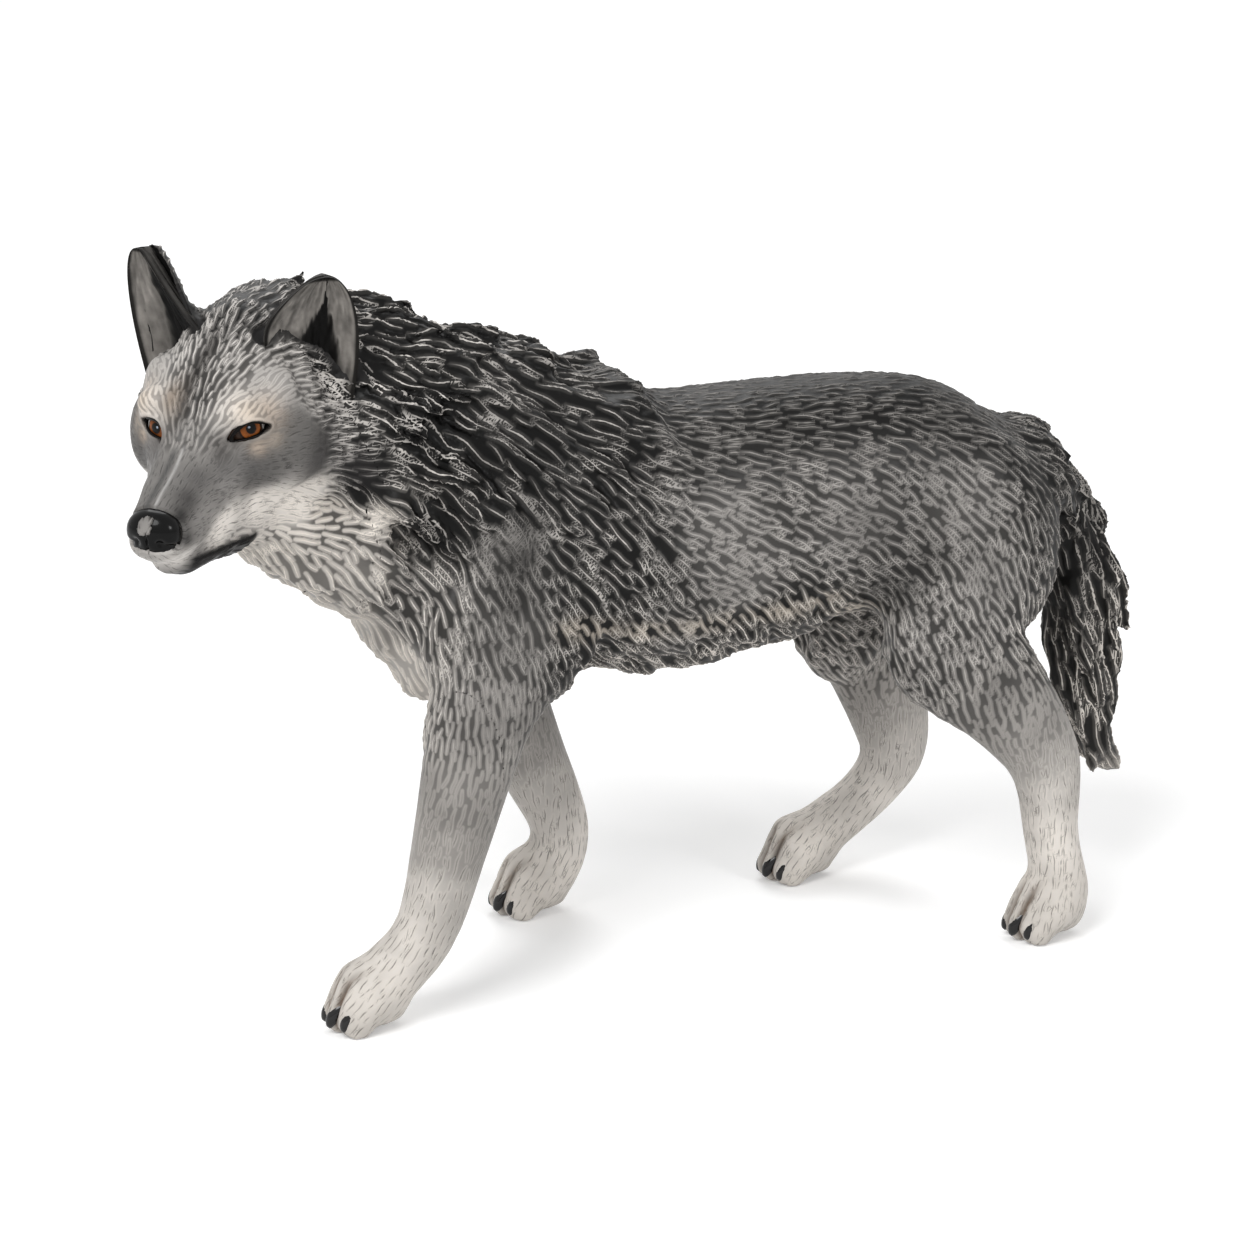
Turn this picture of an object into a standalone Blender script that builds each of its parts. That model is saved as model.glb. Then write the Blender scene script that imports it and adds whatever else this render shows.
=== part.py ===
"""Walking wolf figurine, cast in one piece and standing on its four paws.

Every size below is in millimetres and becomes metres when a mesh is made. The wolf faces -X, its left
flank is at -Y, and +Z is up. It is modelled about a point on the ground midway between the paws, and at
the end it is moved so that the middle of its outer box stands over the origin.
"""

import math
from collections import namedtuple

import bmesh
import bpy
import numpy as np
from mathutils import Matrix, Vector
from mathutils.kdtree import KDTree

MM = 0.001

# Stance
SHOULDER_X = -20.0
HIP_X = 26.0
BACK_HEIGHT = 57.0
BELLY_HEIGHT = 31.0
TRACK_HALF_WIDTH = 11.6
FRONT_LEFT_PAW_X = -36.2
FRONT_RIGHT_PAW_X = -12.3
HIND_LEFT_PAW_X = 35.0
HIND_RIGHT_PAW_X = 17.2

# Trunk
CHEST_HALF_WIDTH = 11.4
LOIN_HALF_WIDTH = 9.6
RUMP_HALF_WIDTH = 9.2
NECK_HALF_WIDTH = 11.0
WITHERS_RISE = 4.0
CROUP_DROP = 5.4

# Legs, half thicknesses seen from the side
FOREARM_HALF_DEPTH = 4.0
WRIST_HALF_DEPTH = 3.1
THIGH_HALF_DEPTH = 7.2
HOCK_HALF_DEPTH = 3.8
SHANK_HALF_DEPTH = 2.8
LEG_HALF_WIDTH = 3.2
WRIST_HEIGHT = 9.4
LEFT_HOCK_HEIGHT = 18.6
RIGHT_HOCK_HEIGHT = 13.6

# Paws
PAW_HALF_LENGTH = 3.9
PAW_HALF_WIDTH = 3.3
PAW_HEIGHT = 5.9
TOE_RADIUS = 1.4
CLAW_LENGTH = 1.3
CLAW_RADIUS = 0.6
SOLE_SINK = 1.4

# Tail
TAIL_HALF_DEPTH = 3.1
TAIL_HALF_WIDTH = 3.1
TAIL_TIP_HEIGHT = 12.4

# Head
HEAD_REACH = 31.2
HEAD_OFFSET = 12.0
HEAD_RISE = 3.8
HEAD_YAW = 52.0
HEAD_PITCH = 9.0
HEAD_ROLL = 1.5
SKULL_HALF_WIDTH = 8.0
MUZZLE_HALF_WIDTH = 3.1
NOSE_RADIUS = 2.4
EYE_SPACING = 5.1
EYE_RADIUS = 2.0
EAR_HEIGHT = 11.0
EAR_WIDTH = 9.6
EAR_THICKNESS = 1.1
EAR_CUP_DEPTH = 2.8

# Casting detail
VOXEL = 0.5
PINHOLE = 0.4
SMOOTHING_STEPS = 2
TRIANGLES = 11000
CROWDING = 0.85
LOCK_CLEARANCE = 1.6
CELL = 3.0
HAIR_SEED = 7

# Paint
COAT_COLOUR = (0.2, 0.19, 0.185)
COAT_ROUGHNESS = 0.55

Section = namedtuple("Section", "x y z side up down")


def head_matrix():
    """Takes head coordinates, forward, left and up from between the eyes, to the figurine's."""
    turn = Matrix.Rotation(math.radians(180 + HEAD_YAW), 4, "Z")
    nod = Matrix.Rotation(math.radians(HEAD_PITCH), 4, "Y")
    tilt = Matrix.Rotation(math.radians(-HEAD_ROLL), 4, "X")
    place = Matrix.Translation((SHOULDER_X - HEAD_REACH, -HEAD_OFFSET, BACK_HEIGHT + HEAD_RISE))
    return place @ turn @ nod @ tilt


def between(sections, steps):
    """Rows between the sections, on a Catmull-Rom curve through them."""
    rows = np.array(sections, float)
    padded = np.vstack([2 * rows[0] - rows[1], rows, 2 * rows[-1] - rows[-2]])
    found = []
    for a, b, c, d in zip(padded, padded[1:], padded[2:], padded[3:]):
        for t in np.arange(steps) / steps:
            found.append(0.5 * (2 * b + (c - a) * t + (2 * a - 5 * b + 4 * c - d) * t**2
                                + (3 * b - a - 3 * c + d) * t**3))
    return np.array(found + [rows[-1]])


def with_round_ends(rows, tangents, bulge):
    """Adds shrinking rings past both ends, so that a loft closes in a dome."""
    def dome(row, tangent):
        reach = min(row[3:]) * bulge
        made = []
        for angle in (75, 50, 25):
            ring = row.copy()
            ring[:3] += tangent * reach * math.cos(math.radians(angle))
            ring[3:] *= math.sin(math.radians(angle))
            made.append(ring)
        return made
    start = dome(rows[0], -tangents[0])[::-1]
    end = dome(rows[-1], tangents[-1])
    directions = np.vstack([[tangents[0]] * 3, tangents, [tangents[-1]] * 3])
    return np.vstack([start, rows, end]), directions


def loft(bm, sections, lateral=(0, 1, 0), sides=24, steps=4, squareness=2.0, bulge=1.0, matrix=None):
    """A closed limb through the sections. A section is a centre, a half width and its reach up and down."""
    rows = between(sections, steps)
    rows[:, 3:] = np.maximum(rows[:, 3:], 0.2)
    tangents = np.gradient(rows[:, :3], axis=0)
    tangents /= np.linalg.norm(tangents, axis=1)[:, None]
    rows, tangents = with_round_ends(rows, tangents, bulge)
    rings = []
    for row, tangent in zip(rows, tangents):
        side = np.array(lateral, float)
        side -= side @ tangent * tangent
        side /= np.linalg.norm(side)
        up = np.cross(tangent, side)
        ring = []
        for angle in 2 * math.pi * np.arange(sides) / sides:
            across, along = math.cos(angle), math.sin(angle)
            across = math.copysign(abs(across) ** (2 / squareness), across)
            along = math.copysign(abs(along) ** (2 / squareness), along)
            reach = row[4] if along > 0 else row[5]
            point = Vector(row[:3] + side * across * row[3] + up * along * reach)
            ring.append(bm.verts.new(matrix @ point if matrix else point))
        rings.append(ring)
    for first, second in zip(rings, rings[1:]):
        for i in range(sides):
            j = (i + 1) % sides
            bm.faces.new((first[i], first[j], second[j], second[i]))
    bm.faces.new(rings[0][::-1])
    bm.faces.new(rings[-1])


def blob(bm, centre, radii, turn=(0, 0, 0), matrix=None):
    """An ellipsoid with its axes turned by the angles, in degrees."""
    place = Matrix.Translation(centre)
    for angle, axis in zip(turn, "XYZ"):
        place = place @ Matrix.Rotation(math.radians(angle), 4, axis)
    place = place @ Matrix.Diagonal((*radii, 1))
    bmesh.ops.create_icosphere(bm, subdivisions=3, radius=1, matrix=matrix @ place if matrix else place)


def trunk(bm):
    """Rib cage, loin and rump, as slices from top to bottom of the body."""
    def piece(x, rise, side, belly=0.0):
        top, bottom = BACK_HEIGHT + rise, BELLY_HEIGHT + belly
        return Section(x, 0, (top + bottom) / 2, side, (top - bottom) / 2, (top - bottom) / 2)
    loft(bm, [
        piece(HIP_X + 8.5, -CROUP_DROP, RUMP_HALF_WIDTH * 0.7, 8.5),
        piece(HIP_X + 3.5, -3.0, RUMP_HALF_WIDTH, 5.0),
        piece(HIP_X - 3, -0.4, RUMP_HALF_WIDTH, 3.4),
        piece(HIP_X - 11, 0.4, LOIN_HALF_WIDTH, 3.4),
        piece(HIP_X - 20, 0.4, LOIN_HALF_WIDTH + 0.7, 1.8),
        piece(SHOULDER_X + 15, 0.4, CHEST_HALF_WIDTH, 0.6),
        piece(SHOULDER_X + 7, WITHERS_RISE + 0.2, CHEST_HALF_WIDTH, 0.2),
        piece(SHOULDER_X, WITHERS_RISE - 0.4, CHEST_HALF_WIDTH - 0.6, -0.4),
        piece(SHOULDER_X - 7, WITHERS_RISE - 2.4, CHEST_HALF_WIDTH - 2.4, 2.0),
    ], squareness=2.2)


def neck(bm):
    """The thick neck and its mane, from between the shoulders to the back of the skull."""
    nape = head_matrix() @ Vector((-14.0, 0.6, -0.6))
    loft(bm, [
        Section(SHOULDER_X + 5, 0, BACK_HEIGHT - 10.0, NECK_HALF_WIDTH - 1, 13.0, 13),
        Section(SHOULDER_X - 2, -0.4, BACK_HEIGHT - 8.7, NECK_HALF_WIDTH - 0.4, 9.3, 16.0),
        Section(SHOULDER_X - 9, -1.2, BACK_HEIGHT - 5.2, NECK_HALF_WIDTH - 1.0, 5.2, 15.6),
        Section(SHOULDER_X - 16, -2.6, BACK_HEIGHT - 0.4, NECK_HALF_WIDTH - 2.2, 7.2, 13.8),
        Section(nape.x, nape.y, nape.z, SKULL_HALF_WIDTH, 10.6, 10.5),
    ], bulge=0.3)


def shoulders_and_thighs(bm):
    """The muscle masses that the legs hang from."""
    for side in (-1, 1):
        blade_y = side * (CHEST_HALF_WIDTH - 4.2)
        blob(bm, (SHOULDER_X + 2, blade_y, BACK_HEIGHT - 11), (7.5, 4.8, 13), (0, 12, 0))
        blob(bm, (SHOULDER_X - 3, blade_y + side * 0.8, BACK_HEIGHT - 20), (6.5, 4.4, 8), (0, -10, 0))
        blob(bm, (HIP_X + 2, side * (RUMP_HALF_WIDTH - 3.2), BACK_HEIGHT - 16), (9.2, 4.8, 12), (0, -14, 0))
    blob(bm, (SHOULDER_X - 5, -0.5, BACK_HEIGHT - 20.0), (5.5, 7.5, 7.5), (0, 35, 0))


def leg(bm, stations, side):
    """A limb down to the ankle. A station is x, y, z, half depth and half width."""
    loft(bm, [Section(x, side * y, z, width, depth, depth) for x, y, z, depth, width in stations])


def front_leg(bm, side, paw_x, elbow, wrist):
    """Shoulder, elbow, forearm, wrist and pastern."""
    track = TRACK_HALF_WIDTH
    shoulder_y = CHEST_HALF_WIDTH - 3.8
    middle = (elbow[0] + wrist[0]) / 2, (elbow[1] + wrist[1]) / 2
    leg(bm, [
        (SHOULDER_X + 1, shoulder_y, BACK_HEIGHT - 14, 8.0, 4.2),
        (SHOULDER_X - 1, shoulder_y + 0.8, BELLY_HEIGHT + 5, 6.8, 4.4),
        (elbow[0], track - 1.2, elbow[1], FOREARM_HALF_DEPTH + 1.2, LEG_HALF_WIDTH + 1.0),
        (middle[0], track - 0.3, middle[1], FOREARM_HALF_DEPTH, LEG_HALF_WIDTH + 0.3),
        (wrist[0], track, wrist[1], WRIST_HALF_DEPTH, LEG_HALF_WIDTH - 0.1),
        (paw_x + 1.9, track, PAW_HEIGHT - 0.8, WRIST_HALF_DEPTH, LEG_HALF_WIDTH - 0.2),
        (paw_x + 0.9, track, 2.8, 2.4, LEG_HALF_WIDTH - 0.2),
    ], side)


def hind_leg(bm, side, paw_x, knee_x, hock, ankle):
    """Thigh, knee, hock and shank."""
    track = TRACK_HALF_WIDTH
    hip_y = RUMP_HALF_WIDTH - 3.2
    middle = (knee_x + hock[0]) / 2, (BELLY_HEIGHT + hock[1]) / 2 + 0.5
    leg(bm, [
        (HIP_X + 1, hip_y, BACK_HEIGHT - 15, 9.0, 4.4),
        (knee_x, hip_y + 2.2, BELLY_HEIGHT, THIGH_HALF_DEPTH, 4.6),
        (middle[0], track - 1.0, middle[1], THIGH_HALF_DEPTH * 0.72, 3.9),
        (hock[0], track - 0.2, hock[1], HOCK_HALF_DEPTH, LEG_HALF_WIDTH - 0.3),
        (ankle[0], track, ankle[1], SHANK_HALF_DEPTH, LEG_HALF_WIDTH - 0.4),
        (paw_x + 1.3, track, PAW_HEIGHT - 1.4, SHANK_HALF_DEPTH, LEG_HALF_WIDTH - 0.2),
        (paw_x + 0.8, track, 2.8, 2.3, LEG_HALF_WIDTH - 0.2),
    ], side)


def paw(bm, x, side):
    """Pad, four toes and their claws. The outer toes sit a little further back."""
    y = side * TRACK_HALF_WIDTH
    heel = x + PAW_HALF_LENGTH - 2.6
    loft(bm, [
        Section(heel, y, 2.4, PAW_HALF_WIDTH - 0.9, 2.4, 2.4 + SOLE_SINK),
        Section(x + 0.2, y, 2.8, PAW_HALF_WIDTH, PAW_HEIGHT - 2.9, 2.9 + SOLE_SINK),
        Section(x - 1.6, y, 2.7, PAW_HALF_WIDTH - 0.1, PAW_HEIGHT - 3.4, 2.8 + SOLE_SINK),
    ], steps=3)
    spread = PAW_HALF_WIDTH - TOE_RADIUS + 0.45
    for place in (-1, -0.36, 0.36, 1):
        outer = abs(place) > 0.5
        front = x - PAW_HALF_LENGTH + (1.9 if outer else 0.9)
        toe_y = y + place * spread
        knuckle = PAW_HEIGHT - TOE_RADIUS - (1.3 if outer else 0.5)
        root_y = y + place * spread * 0.9
        loft(bm, [
            Section(x + 0.8, root_y, PAW_HEIGHT * 0.52, TOE_RADIUS * 0.9, TOE_RADIUS, TOE_RADIUS),
            Section(front + 1.9, toe_y, knuckle, TOE_RADIUS, TOE_RADIUS, TOE_RADIUS * 1.6),
            Section(front + 0.2, toe_y, knuckle - 1.3, TOE_RADIUS * 0.98, TOE_RADIUS, TOE_RADIUS * 1.3),
            Section(front - 0.2, toe_y, 0.7, TOE_RADIUS * 0.9, TOE_RADIUS, TOE_RADIUS),
        ], sides=14, steps=3)
        root, tip = front - 0.9, front - 0.9 - CLAW_LENGTH
        loft(bm, [
            Section(root, toe_y, 2.5, CLAW_RADIUS, CLAW_RADIUS * 1.2, CLAW_RADIUS),
            Section((root + tip) / 2, toe_y, 2.1, CLAW_RADIUS * 0.9, CLAW_RADIUS, CLAW_RADIUS),
            Section(tip, toe_y, 1.1, CLAW_RADIUS * 0.5, CLAW_RADIUS * 0.5, CLAW_RADIUS * 0.5),
        ], sides=8, steps=3)


def tail(bm):
    """The brush hangs from the croup close behind the thighs, and its tip flicks back."""
    top = BACK_HEIGHT - CROUP_DROP - 3
    length = top - TAIL_TIP_HEIGHT
    wide, deep = TAIL_HALF_WIDTH, TAIL_HALF_DEPTH
    path = [
        (HIP_X + 7.0, 0.0, wide, deep), (HIP_X + 11.4, 0.11, wide, deep + 0.2),
        (HIP_X + 14.6, 0.28, wide, deep + 0.6),
        (HIP_X + 16.4, 0.46, wide + 0.2, deep + 0.6), (HIP_X + 17.0, 0.62, wide, deep + 0.1),
        (HIP_X + 17.4, 0.78, wide - 0.4, deep - 0.5), (HIP_X + 18.6, 0.90, wide - 0.9, deep - 1.1),
        (HIP_X + 20.8, 0.985, 1.1, 1.2),
    ]
    loft(bm, [Section(x, 0, top - share * length, w, d, d) for x, share, w, d in path], steps=5)


def skull(bm, place):
    """Cranium, brows, cheeks, muzzle and jaw, in head coordinates."""
    wide, snout = SKULL_HALF_WIDTH, MUZZLE_HALF_WIDTH
    loft(bm, [
        Section(-17, 0, -1.0, wide - 1.6, 8.6, 8.5),
        Section(-12, 0, -1.0, wide - 0.8, 9.6, 9.0),
        Section(-7, 0, -1.0, wide - 0.5, 8.4, 8.8),
        Section(-3.2, 0, -1.6, wide - 0.6, 7.2, 7.6),
        Section(-0.4, 0, -2.6, wide - 2.2, 5.6, 6.4),
        Section(1.8, 0, -3.6, snout + 1.8, 4.2, 5.4),
    ], matrix=place, squareness=1.95)
    loft(bm, [
        Section(-2.0, 0, -3.6, snout + 2.0, 4.2, 5.4),
        Section(2.0, 0, -4.2, snout + 1.3, 4.4, 4.7),
        Section(5.0, 0, -4.9, snout + 0.5, 3.8, 3.8),
        Section(8.0, 0, -5.4, snout + 0.1, 3.4, 3.2),
        Section(10.6, 0, -5.7, snout - 0.3, 2.8, 2.7),
    ], matrix=place, squareness=2.5)
    loft(bm, [
        Section(-5.0, 0, -8.9, 5.0, 2.8, 3.6),
        Section(0.0, 0, -9.0, 3.9, 2.2, 3.0),
        Section(5.0, 0, -8.9, 2.6, 1.6, 2.2),
        Section(8.9, 0, -8.8, 1.9, 1.2, 1.9),
    ], matrix=place)
    for side in (-1, 1):
        brow = (-0.6, side * (EYE_SPACING - 1.0), 2.2)
        blob(bm, brow, (2.6, 2.6, 1.3), (side * -20, 0, side * -35), place)
        blob(bm, (-3.6, side * (wide - 1.9), -2.8), (4.6, 2.8, 4.3), (0, 0, side * -30), place)
        blob(bm, (-4.8, side * (wide - 2.4), 1.8), (3.2, 2.1, 3.0), (0, 0, side * -30), place)
        blob(bm, (-1.9, side * EYE_SPACING, -0.1), (EYE_RADIUS, EYE_RADIUS, EYE_RADIUS), (0, 0, 0), place)
        blob(bm, (-10.8, side * wide, -2.2), (2.2, 2.8, 2.6), (0, 0, 0), place)


def throat(bm):
    """The loose fur from under the jaw down to the chest."""
    loft(bm, [
        Section(SHOULDER_X - 26.0, -6.6, BACK_HEIGHT - 6.0, 3.6, 3.0, 3.4),
        Section(SHOULDER_X - 22.8, -5.2, BACK_HEIGHT - 7.5, 5.0, 4.0, 4.2),
        Section(SHOULDER_X - 19.2, -3.8, BACK_HEIGHT - 9.5, 6.2, 5.0, 4.1),
        Section(SHOULDER_X - 15.5, -2.0, BACK_HEIGHT - 12.0, 7.0, 6.0, 4.4),
    ])


def cheek_ruffs(bm, place):
    """The fringe of longer hair that flares behind each cheek."""
    for side in (-1, 1):
        loft(bm, [
            Section(-6.0, side * 5.0, -4.5, 2.0, 4.0, 4.5),
            Section(-8.6, side * 7.6, -5.6, 1.9, 4.6, 5.0),
            Section(-11.0, side * 9.6, -7.0, 1.4, 3.8, 4.4),
            Section(-13.0, side * 10.8, -8.6, 0.7, 2.0, 2.6),
        ], lateral=(1, side * 0.6, 0), matrix=place)


def nose(bm, place):
    """The nose pad, with a nostril dimple left for the finish."""
    blob(bm, (11.4, 0, -4.9), (1.9, NOSE_RADIUS, NOSE_RADIUS * 0.9), (0, 20, 0), place)


def ear(bm, place, side, inner_out, tip_back, tip_out, lift):
    """A cupped leaf of even thickness that opens forward and outward."""
    inner = Vector((-6.2, side * inner_out, 5.2))
    outer = Vector((-10.4, side * 10.6, -2.4))
    base = (inner + outer) / 2
    tip = Vector((inner.x - tip_back, side * tip_out, base.z + EAR_HEIGHT + lift))
    open_way = Vector((0.79, side * 0.61, 0.05)).normalized()
    columns, rows = 11, 13
    fronts, backs = [], []
    for j in range(rows):
        v = j / (rows - 1)
        round_off = math.sqrt(max(0.0, 1 - v**3.2))
        middle = base.lerp(tip, v)
        across = outer - inner
        across.z *= (1 - v) ** 1.5
        across = across.normalized()
        half = EAR_WIDTH / 2 * round_off * (1.0 - 0.25 * v)
        fronts.append([])
        backs.append([])
        for i in range(columns):
            u = 2 * i / (columns - 1) - 1
            cup = EAR_CUP_DEPTH * (1 - u * u) * (1 - 0.6 * v)
            point = middle + across * half * u - open_way * cup
            thickness = EAR_THICKNESS * (1 - 0.3 * u * u)
            fronts[j].append(bm.verts.new(place @ point))
            backs[j].append(bm.verts.new(place @ (point - open_way * thickness)))
    for j in range(rows - 1):
        for i in range(columns - 1):
            bm.faces.new((fronts[j][i], fronts[j][i + 1], fronts[j + 1][i + 1], fronts[j + 1][i]))
            bm.faces.new((backs[j][i + 1], backs[j][i], backs[j + 1][i], backs[j + 1][i + 1]))
        bm.faces.new((backs[j][0], fronts[j][0], fronts[j + 1][0], backs[j + 1][0]))
        bm.faces.new((fronts[j][-1], backs[j][-1], backs[j + 1][-1], fronts[j + 1][-1]))
    for i in range(columns - 1):
        bm.faces.new((backs[0][i], backs[0][i + 1], fronts[0][i + 1], fronts[0][i]))
        bm.faces.new((fronts[-1][i], fronts[-1][i + 1], backs[-1][i + 1], backs[-1][i]))


# Guides for the sculpted hair: where, which way it lies, then length, width and rise of a lock.
# The body ones are mirrored, and the head ones are mirrored in head coordinates.
Hair = namedtuple("Hair", "x y z along out down length width rise")
BODY_HAIR = [
    Hair(-37, 2, 69, 0.9, 0.1, -0.35, 8.0, 2.6, 1.0),
    Hair(-26, 2, 65, 0.95, 0.1, -0.30, 8.0, 2.6, 0.9),
    Hair(-16, 2, 63, 0.95, 0.1, -0.30, 7.0, 2.4, 0.8),
    Hair(-38, 9, 62, 0.85, 0.1, -0.50, 8.5, 2.8, 1.1),
    Hair(-30, 10, 58, 0.80, 0.1, -0.60, 9.0, 2.8, 1.1),
    Hair(-36, 9, 50, 0.65, 0.0, -0.75, 7.5, 2.6, 1.0),
    Hair(-28, 11, 48, 0.60, 0.0, -0.80, 7.0, 2.4, 0.8),
    Hair(-40, 3, 45, 0.55, 0.0, -0.80, 5.0, 2.2, 0.8),
    Hair(-33, 5, 38, 0.55, 0.0, -0.85, 4.5, 2.0, 0.6),
    Hair(-27, 3, 31, 0.60, 0.0, -0.80, 3.5, 1.8, 0.5),
    Hair(-15, 11, 26, 0.00, 0.0, -1.00, 0.0, 0.0, 0.0),
    Hair(-20, 10, 56, 0.80, 0.0, -0.60, 7.5, 2.4, 0.9),
    Hair(-12, 10, 54, 0.80, 0.0, -0.60, 6.5, 2.2, 0.9),
    Hair(-21, 12, 45, 0.50, 0.0, -0.85, 0.0, 0.0, 0.0),
    Hair(-22, 12, 36, 0.35, 0.0, -0.93, 0.0, 0.0, 0.0),
    Hair(-9, 11, 44, 0.70, 0.0, -0.70, 5.0, 2.0, 0.6),
    Hair(-12, 11, 36, 0.60, 0.0, -0.80, 4.5, 2.0, 0.5),
    Hair(-4, 3, 58, 1.00, 0.0, -0.10, 0.0, 0.0, 0.0),
    Hair(0, 11, 48, 0.90, 0.0, -0.40, 0.0, 0.0, 0.0),
    Hair(2, 10, 40, 0.80, 0.0, -0.50, 0.0, 0.0, 0.0),
    Hair(-9, 7, 32.5, 0.55, 0.1, -0.80, 5.0, 2.0, 1.3),
    Hair(-2, 7, 32.5, 0.55, 0.1, -0.80, 5.0, 2.0, 1.3),
    Hair(6, 7, 34, 0.55, 0.1, -0.80, 4.5, 2.0, 1.1),
    Hair(13, 7, 36, 0.60, 0.1, -0.70, 4.0, 1.8, 0.7),
    Hair(-4, 1, 31, 0.80, 0.0, -0.50, 4.5, 2.0, 0.8),
    Hair(16, 10, 45, 0.85, 0.0, -0.50, 0.0, 0.0, 0.0),
    Hair(30, 5, 55, 0.90, 0.1, -0.45, 0.0, 0.0, 0.0),
    Hair(27, 11, 42, 0.50, 0.0, -0.85, 0.0, 0.0, 0.0),
    Hair(34, 8, 40, 0.45, -0.1, -0.88, 0.0, 0.0, 0.0),
    Hair(33, 9, 31, 0.35, -0.1, -0.92, 0.0, 0.0, 0.0),
    Hair(30, 12, 20, 0.10, 0.0, -1.00, 0.0, 0.0, 0.0),
    Hair(-28, 12, 20, -0.2, 0.0, -1.00, 0.0, 0.0, 0.0),
    Hair(35, 12, 5, 0.00, 0.0, -1.00, 0.0, 0.0, 0.0),
    Hair(-36, 12, 5, 0.00, 0.0, -1.00, 0.0, 0.0, 0.0),
    Hair(16, 12, 5, 0.00, 0.0, -1.00, 0.0, 0.0, 0.0),
    Hair(-12, 12, 8, 0.00, 0.0, -1.00, 0.0, 0.0, 0.0),
    Hair(38, 2, 48, 0.70, 0.2, -0.70, 6.5, 2.0, 0.7),
    Hair(44, 3, 38, 0.30, 0.2, -0.95, 7.5, 1.9, 0.8),
    Hair(44, 3, 27, 0.15, 0.2, -1.00, 8.0, 1.9, 0.8),
    Hair(45, 2, 17, 0.40, 0.1, -0.95, 6.5, 1.7, 0.6),
]
HEAD_HAIR = [
    Hair(2, 3, -2, -1.0, 0.1, 0.1, 0.0, 0.0, 0.0),
    Hair(8, 3, -5, -1.0, 0.1, 0.0, 0.0, 0.0, 0.0),
    Hair(-2, 4, 5, -0.9, 0.1, 0.4, 0.0, 0.0, 0.0),
    Hair(-10, 3, 8, -1.0, 0.1, 0.1, 0.0, 0.0, 0.0),
    Hair(-9, 8, 10, -0.2, 0.2, 0.9, 0.0, 0.0, 0.0),
    Hair(-12, 9, 2, -0.6, 0.4, 0.2, 0.0, 0.0, 0.0),
    Hair(-15, 3, 8, -1.0, 0.1, 0.0, 5.0, 2.2, 0.5),
    Hair(-3, 7, -3, -0.9, 0.3, -0.2, 0.0, 0.0, 0.0),
    Hair(-9, 8, -5, -0.9, 0.4, -0.35, 5.5, 2.0, 0.7),
    Hair(-12, 10, -8, -0.8, 0.4, -0.45, 5.5, 2.0, 0.8),
    Hair(-8, 5, -11, -0.7, 0.2, -0.60, 4.5, 2.0, 0.7),
    Hair(-1, 2, -12, -0.8, 0.1, -0.40, 2.5, 1.6, 0.4),
]


def hair_guides():
    """Every guide on both sides, as arrays of places, directions and lock sizes in the figurine's frame."""
    places, ways, sizes = [], [], []
    place = head_matrix()
    for table, matrix in ((BODY_HAIR, Matrix()), (HEAD_HAIR, place)):
        for hair in table:
            for side in (-1, 1):
                places.append(matrix @ Vector((hair.x, side * hair.y, hair.z)))
                way = matrix.to_3x3() @ Vector((hair.along, side * hair.out, hair.down))
                ways.append(way.normalized())
                sizes.append((hair.length, hair.width, hair.rise))
    return np.array(places), np.array(ways), np.array(sizes)


def lock(bm, root, way, normal, length, width, rise):
    """One pointed lock of hair, that rises from its root to its tip and is solid down to the skin."""
    thick = rise * 0.8
    def station(share, height, spread, depth):
        point = root + way * length * share + normal * height
        above, below = thick * depth, thick * depth + max(height, 0) * 1.3
        return Section(point.x, point.y, point.z, width / 2 * spread, above, below)
    loft(bm, [
        station(0.0, -thick * 0.7, 0.5, 0.6),
        station(0.35, rise * 0.15, 1.0, 1.0),
        station(0.7, rise * 0.75, 0.8, 0.9),
        station(1.0, rise * 0.9, 0.3, 0.3),
    ], lateral=way.cross(normal), sides=8, steps=2)


def hair_locks(bm, skin):
    """Spreads locks over the skin. Where the guides close by have no length, the skin stays plain."""
    places, ways, sizes = hair_guides()
    points = np.array([vertex.co for vertex in skin.vertices]) / MM
    normals = np.array([vertex.normal for vertex in skin.vertices])
    order = np.random.default_rng(HAIR_SEED).permutation(len(points))
    surface = KDTree(len(points))
    for i, point in enumerate(points):
        surface.insert(point, i)
    surface.balance()
    cells = {}
    for i in order:
        gaps = np.linalg.norm(places - points[i], axis=1)
        near = np.argsort(gaps)[:4]
        weights = 1 / (gaps[near] + 0.5) ** 2
        weights /= weights.sum()
        length, width, rise = weights @ sizes[near]
        if sizes[near[0]][0] == 0 or rise < 0.3:
            continue
        way = Vector(weights @ ways[near])
        spacing = max(width, length * 0.5) * CROWDING
        key = tuple((points[i] // CELL).astype(int))
        crowded = False
        for dx in (-1, 0, 1):
            for dy in (-1, 0, 1):
                for dz in (-1, 0, 1):
                    for other in cells.get((key[0] + dx, key[1] + dy, key[2] + dz), ()):
                        if np.linalg.norm(points[other] - points[i]) < spacing:
                            crowded = True
        if crowded:
            continue
        root, normal = Vector(points[i]), Vector(normals[i])
        way = (way - normal * way.dot(normal)).normalized()
        if surface.find(root + way * length)[2] > LOCK_CLEARANCE:
            continue
        cells.setdefault(key, []).append(i)
        lock(bm, root, way, normal, length, width, rise)


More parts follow.
